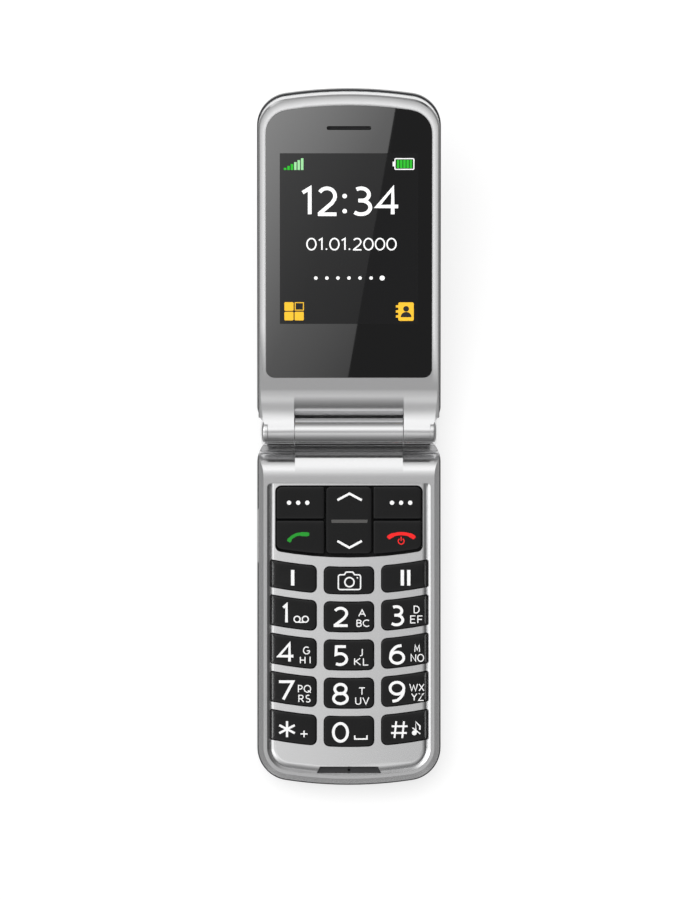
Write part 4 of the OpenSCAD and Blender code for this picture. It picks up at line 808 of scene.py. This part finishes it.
# character, left, right, upper and lower edge on the key's face
DIGITS = {
    "key_1": ("1", -19.46, -17.38, 49.52, 55.49), "key_2": ("2", -4.81, 0.03, 50.56, 56.41),
    "key_3": ("3", 11.64, 16.07, 50.1, 56.18), "key_4": ("4", -20.88, -15.67, 60.82, 66.78),
    "key_5": ("5", -4.63, -0.14, 61.68, 67.68), "key_6": ("6", 11.44, 16.3, 61.31, 67.3),
    "key_7": ("7", -20.65, -15.7, 71.82, 77.76), "key_8": ("8", -4.92, 0, 72.57, 78.97),
    "key_9": ("9", 11.44, 16.45, 71.99, 78.34), "key_0": ("0", -4.92, 0, 83.9, 89.86),
    "key_star": ("*", -20.76, -15.06, 83.12, 88.76), "key_hash": ("#", 11.87, 17.2, 83.4, 88.76),
}
LETTERS = {
    "key_2": [("A", 2.69, 4.92, 51.26, 53.46), ("BC", 2.03, 6.02, 54.24, 56.39)],
    "key_3": [("D", 18.59, 20.5, 50.22, 52.48), ("EF", 17.55, 21.4, 53.05, 55.37)],
    "key_4": [("G", -13.35, -11.41, 62.03, 64.35), ("H", -14.31, -12.45, 64.87, 67.07),
              ("I", -11.47, -11, 64.87, 67.07)],
    "key_5": [("J", 3.01, 4.11, 62.61, 64.87), ("KL", 1.33, 5.73, 65.33, 67.56)],
    "key_6": [("M", 18.8, 20.65, 61.45, 63.71), ("NO", 17.72, 21.78, 64.18, 66.49)],
    "key_7": [("PQ", -14.89, -10.83, 73.15, 75.41), ("RS", -14.77, -11, 75.99, 78.25)],
    "key_8": [("T", 2.78, 4.75, 73.85, 76.11), ("UV", 1.68, 5.91, 76.63, 78.89)],
    "key_9": [("WX", 17.43, 21.84, 72.75, 75.01), ("YZ", 17.96, 21.72, 75.53, 77.79)],
}


def dots_tree():
    """Row of round printed dots: count, pitch, radius and thickness are inputs."""
    group = bpy.data.node_groups.new("dot_row", "GeometryNodeTree")
    kinds = {"Count": "Int", "Pitch": "Float", "Radius": "Float", "Thickness": "Float", "Start": "Vector",
             "Material": "Material"}
    for name, kind in kinds.items():
        group.interface.new_socket(name, in_out="INPUT", socket_type="NodeSocket" + kind)
    group.interface.new_socket("Geometry", in_out="OUTPUT", socket_type="NodeSocketGeometry")
    t = Tree(group)
    given = dict(zip(kinds, t.node("NodeGroupInput")))
    step = t.node("ShaderNodeCombineXYZ", inputs={"X": given["Pitch"]})[0]
    row = t.node("GeometryNodeMeshLine", {"mode": "OFFSET"}, {
        "Count": given["Count"], "Start Location": given["Start"], "Offset": step})[0]
    dot = t.node("GeometryNodeMeshCylinder", inputs={
        "Vertices": 24, "Radius": given["Radius"], "Depth": given["Thickness"]})[0]
    dots = t.node("GeometryNodeInstanceOnPoints", inputs={"Points": row, "Instance": dot})[0]
    real = t.node("GeometryNodeRealizeInstances", inputs={"Geometry": dots})[0]
    done = t.node("GeometryNodeSetMaterial", inputs={"Geometry": real, "Material": given["Material"]})[0]
    t.node("NodeGroupOutput", inputs={0: done})
    return group


def from_tree(name, group, values):
    """Runs a geometry tree and returns its result as a plain mesh object."""
    host = linked("host", bpy.data.meshes.new("host"))
    mod = host.modifiers.new("tree", "NODES")
    mod.node_group = group
    for item in group.interface.items_tree:
        if item.in_out == "INPUT":
            mod[item.identifier] = values[item.name]
    me = bpy.data.meshes.new_from_object(host.evaluated_get(bpy.context.evaluated_depsgraph_get()))
    bpy.data.objects.remove(host)
    me.name = name
    return linked(name, me)


class PHONE_OT_legends(bpy.types.Operator):
    """Prints digits, letter groups and key symbols on the keycaps, and paints a highlight bar across the nav key
    """
    bl_idname = "phone.legends"
    bl_label = "Legends"

    def execute(self, context):
        thick = context.scene.phone_keys.legend
        for key, place in DIGITS.items():
            leg = Legend(key)
            leg.text(*place, DIGIT_WEIGHT.get(place[0], 0.8))
            if key == "key_1":
                for cx in (-15, -12.63):
                    leg.line(ring(cx, 54.16, 0.87), 0.36, True)
                leg.line([(-15, 55.02), (-12.63, 55.02)], 0.36)
            if key == "key_star":
                leg.text("+", -14.19, -11.79, 86.01, 88.62, 0.36)
            if key == "key_0":
                leg.line([(1.68, 87.75), (1.68, 88.79), (5.21, 88.79), (5.21, 87.75)], 0.42)
            leg.done("digit")
            if key == "key_hash":
                leg = Legend(key)
                leg.poly(ring(18.91, 87, 0.7))
                leg.line([(19.4, 87), (19.4, 83.98), (20.5, 85.03), (20.5, 86.13)], 0.42)
                leg.line([(18.36, 85.55), (20.62, 87.29)], 0.34)
                leg.done("note")
            if key in LETTERS:
                leg = Legend(key)
                for group in LETTERS[key]:
                    leg.text(*group, LETTER_WEIGHT)
                leg.done("letters")
        for key, xs, weight in (("memory_key_one", [-16.28], 0.98), ("memory_key_two", [15.44, 17.29], 0.95)):
            leg = Legend(key)
            for x in xs:
                leg.line([(x, 39.91), (x, 44.42)], weight)
            leg.done("mark")
        leg = Legend("camera_key")
        body = [(-3.07, 45.58), (-3.07, 41.3), (-1.33, 41.3), (-0.81, 40.52), (1.1, 40.52), (1.62, 41.3),
                (3.36, 41.3), (3.36, 45.58)]
        leg.line(rounded(body, [0.58, 0.58, 0.12, 0.23, 0.23, 0.12, 0.58, 0.58], 4), 0.38, True)
        leg.line(ring(0.14, 43.44, 1.33, 28), 0.42, True)
        leg.poly(ring(2.43, 42.17, 0.23, 12))
        leg.done("mark")
        leg = Legend("nav_key")
        for near, tip in ((19.72, 17.84), (31.54, 33.48)):
            leg.line([(-3.36, near), (0.14, tip), (3.71, near)], 0.66)
        leg.done("arrows")
        # grey bar across the nav key: a painted highlight along its dividing line
        leg = Legend("nav_key", "groove")
        leg.poly([(-5.15, 25.36), (5.44, 25.36), (5.26, 26.3), (-4.97, 26.3)])
        leg.done("bar")
        leg = Legend("call_key", "green")
        leg.band(curve([(-17.5, 31.75), (-16.68, 30.6), (-14.77, 29.62), (-11.5, 29.6)], 5), 1.2, 0.9)
        leg.done("handset")
        leg = Legend("end_key", "red")
        leg.band(arc(15.15, 31.75, 4.25, -2.35, 155, 25, 18), 1.25, 0.95)
        leg.line(arc(15.09, 31.6, 0.84, 0.84, -55, 235, 20), 0.32)
        leg.line([(15.09, 30.3), (15.09, 31.5)], 0.34)
        leg.done("handset")
        group = dots_tree()
        for key, x in (("soft_key_left", -17.32), ("soft_key_right", 12.45)):
            ob = from_tree(key + "_dots", group, {
                "Count": 3, "Pitch": 0.00263, "Radius": 0.00063, "Thickness": thick / 1000,
                "Start": tuple(base_point(x, 20.47, KEY_TOP + thick / 2)), "Material": finish("white")})
            ride(ob, key + "_body", "key_gloss", "white")
        return {"FINISHED"}


# ---------- display ----------

class PHONE_OT_window(bpy.types.Operator):
    """Makes the black window and the signs that the display shows"""
    bl_idname = "phone.window"
    bl_label = "Window and display"

    def execute(self, context):
        p = context.scene.phone_screen
        ob = smoothed_copy("display_window", "display_window_skin", 0)
        ride(ob, "lid", "window_gloss")
        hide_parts("display_window")

        z0, z1 = GLASS_TOP - 0.004, GLASS_TOP + 0.012
        s = Slab(z0, z1)
        s.text(p.clock, -14.07, 14.74, 74.09, 65.17, 1.1, 0.22)
        s.text(p.line, -12.34, 13.78, 58.61, 54.78, 0.42)
        for k in range(7):
            s.poly(ring(-9.56 + 3.19 * k, 46.46, 0.75 if k == 6 else 0.52, 16))
        s.build("display_digits", "screen_white")
        s, mint = Slab(z0, z1), Slab(z0, z1)
        for k in range(6):
            (s if k < 3 else mint).poly(box(-18.77 + 0.985 * k, 79.07, -18.05 + 0.985 * k, 79.7 + 0.58 * k))
        for k in range(5):
            s.poly(box(13.78 + 0.93 * k, 79.6, 14.5 + 0.93 * k, 82.13))
        s.build("display_charge", "screen_green")
        mint.build("display_signal", "screen_mint")
        s = Slab(z0, z1)
        s.line(box(13.26, 79.26, 18.71, 82.47, 0.23, 3), 0.3, True)
        s.poly(box(12.6, 80.17, 13.2, 81.56))
        s.build("display_cell_frame", "screen_white")
        s = Slab(z0, z1)
        for x, y in ((-18.65, 36.56), (-15.7, 33.65), (-18.65, 33.65)):
            s.poly(box(x, y, x + 2.65, y + 2.61, 0.3, 3))
        s.line(box(-15.52, 36.77, -13.15, 39.02), 0.26, True)
        s.poly(box(14.25, 33.52, 18.71, 39.11, 0.46, 4))
        for y in (34.5, 36, 37.53):
            s.poly(box(13.55, y, 14.4, y + 0.73))
        s.build("display_shortcuts", "screen_yellow")
        s = Slab(z1 - 0.002, z1 + 0.010)
        s.poly(ring(16.51, 37.15, 0.85, 16))
        s.poly([(14.95, 34.62)] + arc(16.5, 34.72, 1.55, 1.5, 180, 0, 10) + [(18.05, 34.62)])
        s.build("display_person", "screen_dark")
        return {"FINISHED"}


# ---------- the other CAD nodes ----------

class PHONE_OT_finishes(bpy.types.Operator):
    """Gives every CAD node that still shows a finish of its own"""
    bl_idname = "phone.finishes"
    bl_label = "Finishes"

    def execute(self, context):
        looks = {"camera_window": "lcd_glass", "antenna": "gold", "dome_sheet": "bright_steel",
                 "lid_magnet": "bright_steel"}
        for name, ob in frame["nodes"].items():
            paint(ob, looks.get(name, NODE_SLOT[name]))
        return {"FINISHED"}


# ---------- stage ----------

def world_light():
    """Soft room: brightest behind the hinge and on the left, dark on the right and toward the keypad's end."""
    w = bpy.data.worlds.new("soft_room")
    bpy.context.scene.world = w
    w.use_nodes = True
    t = Tree(w.node_tree)
    x, y, z = t.node("ShaderNodeSeparateXYZ", inputs={0: t.node("ShaderNodeTexCoord")[0]})
    turn = t.node("ShaderNodeMath", {"operation": "ARCTAN2"}, {0: y, 1: z})[0] * (1 / tau) + 0.5
    # degrees from straight above toward the lid, and the light that comes from there
    along = [(-180, 0.12), (-120, 0.05), (-90, 0.08), (-60, 0.22), (-42, 0.4), (-33, 0.58), (-20, 0.85),
             (-12, 1.05), (-5, 0.62), (5, 0.62), (12, 1.1), (22, 1.6), (36, 1.5), (48, 0.9), (60, 0.42),
             (75, 0.26), (92, 0.2), (112, 0.12), (180, 0.12)]
    # share of it by how far to the right the light comes from
    across = [(-1, 0.9), (-0.97, 1.2), (-0.9, 2.3), (-0.6, 2.2), (-0.3, 1.2), (0, 1), (0.3, 0.8), (0.5, 0.4),
              (0.68, 0.12), (0.9, 0.12), (0.97, 0.5), (1, 0.7)]
    a, b = (t.node("ShaderNodeValToRGB", {"stops": [(d / span + 0.5, v / 2) for d, v in table]}, {0: at})[0]
            for table, span, at in ((along, 360, turn), (across, 2, x * 0.5 + 0.5)))
    lit, plain = t.shader("Background", Strength=a * b * 4), t.shader("Background", Color=(1,) * 4)
    t.show(t.blend(t.node("ShaderNodeLightPath")[0], lit, plain), "ShaderNodeOutputWorld")


def plain_plane(name, corners, faces=None):
    me = bpy.data.meshes.new(name)
    me.from_pydata(corners, [], faces or [range(len(corners))])
    ob = linked(name, me)
    return ob


def glow_card(name, corners, glow, receivers=(), faces=None):
    """Card that only mirroring faces see, with a brightness at each corner.

    It adds its light to what its receivers mirror. Without receivers it hides what lies behind it.
    """
    ob = plain_plane(name, corners, faces)
    layer = ob.data.color_attributes.new("glow", "FLOAT_COLOR", "POINT")
    for i, c in enumerate(glow):
        layer.data[i].color = (c, c, c, 1)
    m = Finish(name)
    light = m.shader("Emission", Color=m.node("ShaderNodeVertexColor", {"layer_name": "glow"})[0])
    if receivers:
        light = m.added(light, m.shader("BsdfTransparent"))
        group = bpy.data.collections.new(name + "_receivers")
        for piece in receivers:
            group.objects.link(bpy.data.objects[piece])
        ob.light_linking.receiver_collection = group
    m.show(light)
    ob.data.materials.append(m.m)
    for kind in ("camera", "diffuse", "transmission", "volume_scatter", "shadow"):
        setattr(ob, "visible_" + kind, False)


def mirrored(points, up, camera_at, distance):
    """Where a flat face mirrors the camera's view of its points to, at a distance."""
    return [p + (p - camera_at).normalized().reflect(up) * distance for p in points]


class PHONE_OT_stage(bpy.types.Operator):
    """Sets the floor, the lamp, the cards, the surroundings and the camera"""
    bl_idname = "phone.stage"
    bl_label = "Stage"

    def rim_line(self, inset):
        """Line round the lid's far end, at a distance in from its edge."""
        x = HALF_W - inset
        far = [(v, HALF_LEN - 1.4 * inset - sag(v)) for v in (x * k / 4 for k in (-4, -2, -1, 0, 1, 2, 4))]
        r = CORNER_R - inset
        return rounded([(-x, 14), (-x, 32)] + far + [(x, 32), (x, 14)], [0, 0, r] + [0] * 5 + [r, 0, 0])

    def execute(self, context):
        p = context.scene.phone_stage
        cam = linked("camera", bpy.data.cameras.new("camera"))
        cam.location = eye = Vector((0.0003, 0.0438, p.distance))
        cam.data.lens = cam.data.sensor_width * p.distance / (p.width * 900 / 700)
        cam.data.clip_end = 50
        context.scene.camera = cam

        z, wide = -0.0002, 3     # just under the phone, so that the two never share a plane
        floor = plain_plane("floor", [(x, y, z) for x, y in box(-wide, -wide, wide, wide)])
        m = Finish("floor_white")
        paper = m.shader("BsdfDiffuse", Color=(*[p.floor] * 3, 1))
        white = m.added(paper, m.shader("Emission", Strength=m.seen() * p.floor_glow))
        from_below = m.node("ShaderNodeNewGeometry")[6]
        m.show(m.blend(from_below, white, m.shader("BsdfTransparent")))
        floor.data.materials.append(m.m)

        lamp = linked("overhead", bpy.data.lights.new("overhead", "AREA"))
        lamp.data.shape, lamp.data.size, lamp.data.size_y, lamp.data.energy = "RECTANGLE", 1.3, 1, p.lamp
        lamp.location = (0, 0.5, 1.2)
        lamp.rotation_mode = "QUATERNION"
        lamp.rotation_quaternion = (Vector((0, 0.05, 0)) - lamp.location).to_track_quat("-Z", "Y")
        lamp.visible_glossy = False

        glare = ((-25.5, 14), (-0.7, 14), (13.95, 101), (-25.5, 101))
        glare = mirrored([lid_point(x, y, GLASS_TOP) for x, y in glare], LID_UP, eye, 0.45)
        glow_card("glare_card", glare, [2.6, 1.3, 3.8, 8.5], ["display_window_skin"])
        plate = [base_point(x, y, PLATE_TOP) for x, y in ((-40, 115), (40, 115), (40, 0), (-40, 0))]
        glow_card("plate_card", mirrored(plate, Vector((0, 0, 1)), eye, 0.07), [0.34, 0, 0, 0.34],
                  ["keypad_plate_skin"])
        # light along the lid's rim, strongest beside the window
        rim = [lid_point(x, y, 0) for inset in (2.3, 0.5) for x, y in self.rim_line(inset)]
        n = len(rim) // 2
        glow_card("rim_card", mirrored(rim, LID_UP, eye, 0.003), [0] + [0.8] * (n - 2) + [0] * (n + 1),
                  ["lid_front_shell_skin"], [(k, k + 1, n + k + 1, n + k) for k in range(n - 1)])
        # light that the rolled outer sides of the keys mirror
        for name, side, light in (("left_card", -1, 12), ("right_card", 1, 7)):
            corners = ((0.16, -0.1, 0.03), (0.16, 0.06, 0.03), (0.12, 0.06, 0.12), (0.12, -0.1, 0.12))
            glow_card(name, [(side * x, y, z) for x, y, z in corners], [light] * 4,
                      [key + "_cap" for key, column, *_ in GRID_KEYS if column == side])
        # dark card over the valley between the hinge barrel and the keypad
        valley = ((-KNUCKLE_OUT, 5.5), (KNUCKLE_OUT, 5.5), (KNUCKLE_OUT, 3.9), (-KNUCKLE_OUT, 3.9))
        glow_card("flag_hinge", [base_point(x, y, 12.8) for x, y in valley], [0.01] * 4)
        # dark low cards on three sides, so that the bevels don't mirror the pale floor
        x, near, far, low, tall, tallest = 0.06, -0.1, 0.17, 0.0005, 0.03, 0.065
        for name, a, b, height in (("flag_left", (-x, near), (-x, far), tallest),
                                   ("flag_right", (x, near), (x, far), tallest),
                                   ("flag_near", (-x, near), (x, near), tall)):
            glow_card(name, [(*a, low), (*b, low), (*b, height), (*a, tall)], [0.28] * 4)
        world_light()
        context.scene.view_settings.view_transform = "Standard"
        return {"FINISHED"}


class PHONE_PT_panel(bpy.types.Panel):
    """Lists the phone's building steps and their settings"""
    bl_idname = "PHONE_PT_panel"
    bl_label = "Folding phone"
    bl_space_type = "VIEW_3D"
    bl_region_type = "UI"
    bl_category = "Phone"

    def draw(self, context):
        for name in STEPS:
            self.layout.operator("phone." + name)
        for name in SETTINGS:
            rows, settings = self.layout.box(), getattr(context.scene, name)
            for prop in settings.bl_rna.properties:
                if prop.identifier not in ("rna_type", "name"):
                    rows.prop(settings, prop.identifier)


STEPS = ("finishes", "shells", "keys", "legends", "window", "stage")
SETTINGS = {"phone_finish": PHONE_PG_finish, "phone_keys": PHONE_PG_keys, "phone_screen": PHONE_PG_screen,
            "phone_stage": PHONE_PG_stage}
CLASSES = (*SETTINGS.values(), PHONE_OT_stage, PHONE_OT_finishes, PHONE_OT_shells, PHONE_OT_keys,
           PHONE_OT_legends, PHONE_OT_window, PHONE_PT_panel)


def register():
    for c in CLASSES:
        bpy.utils.register_class(c)
    for name, c in SETTINGS.items():
        setattr(bpy.types.Scene, name, PointerProperty(type=c))


def unregister():
    for name in SETTINGS:
        delattr(bpy.types.Scene, name)
    for c in reversed(CLASSES):
        bpy.utils.unregister_class(c)


def main():
    register()
    for name in STEPS:
        getattr(bpy.ops.phone, name)()


if __name__ == "__main__":
    main()
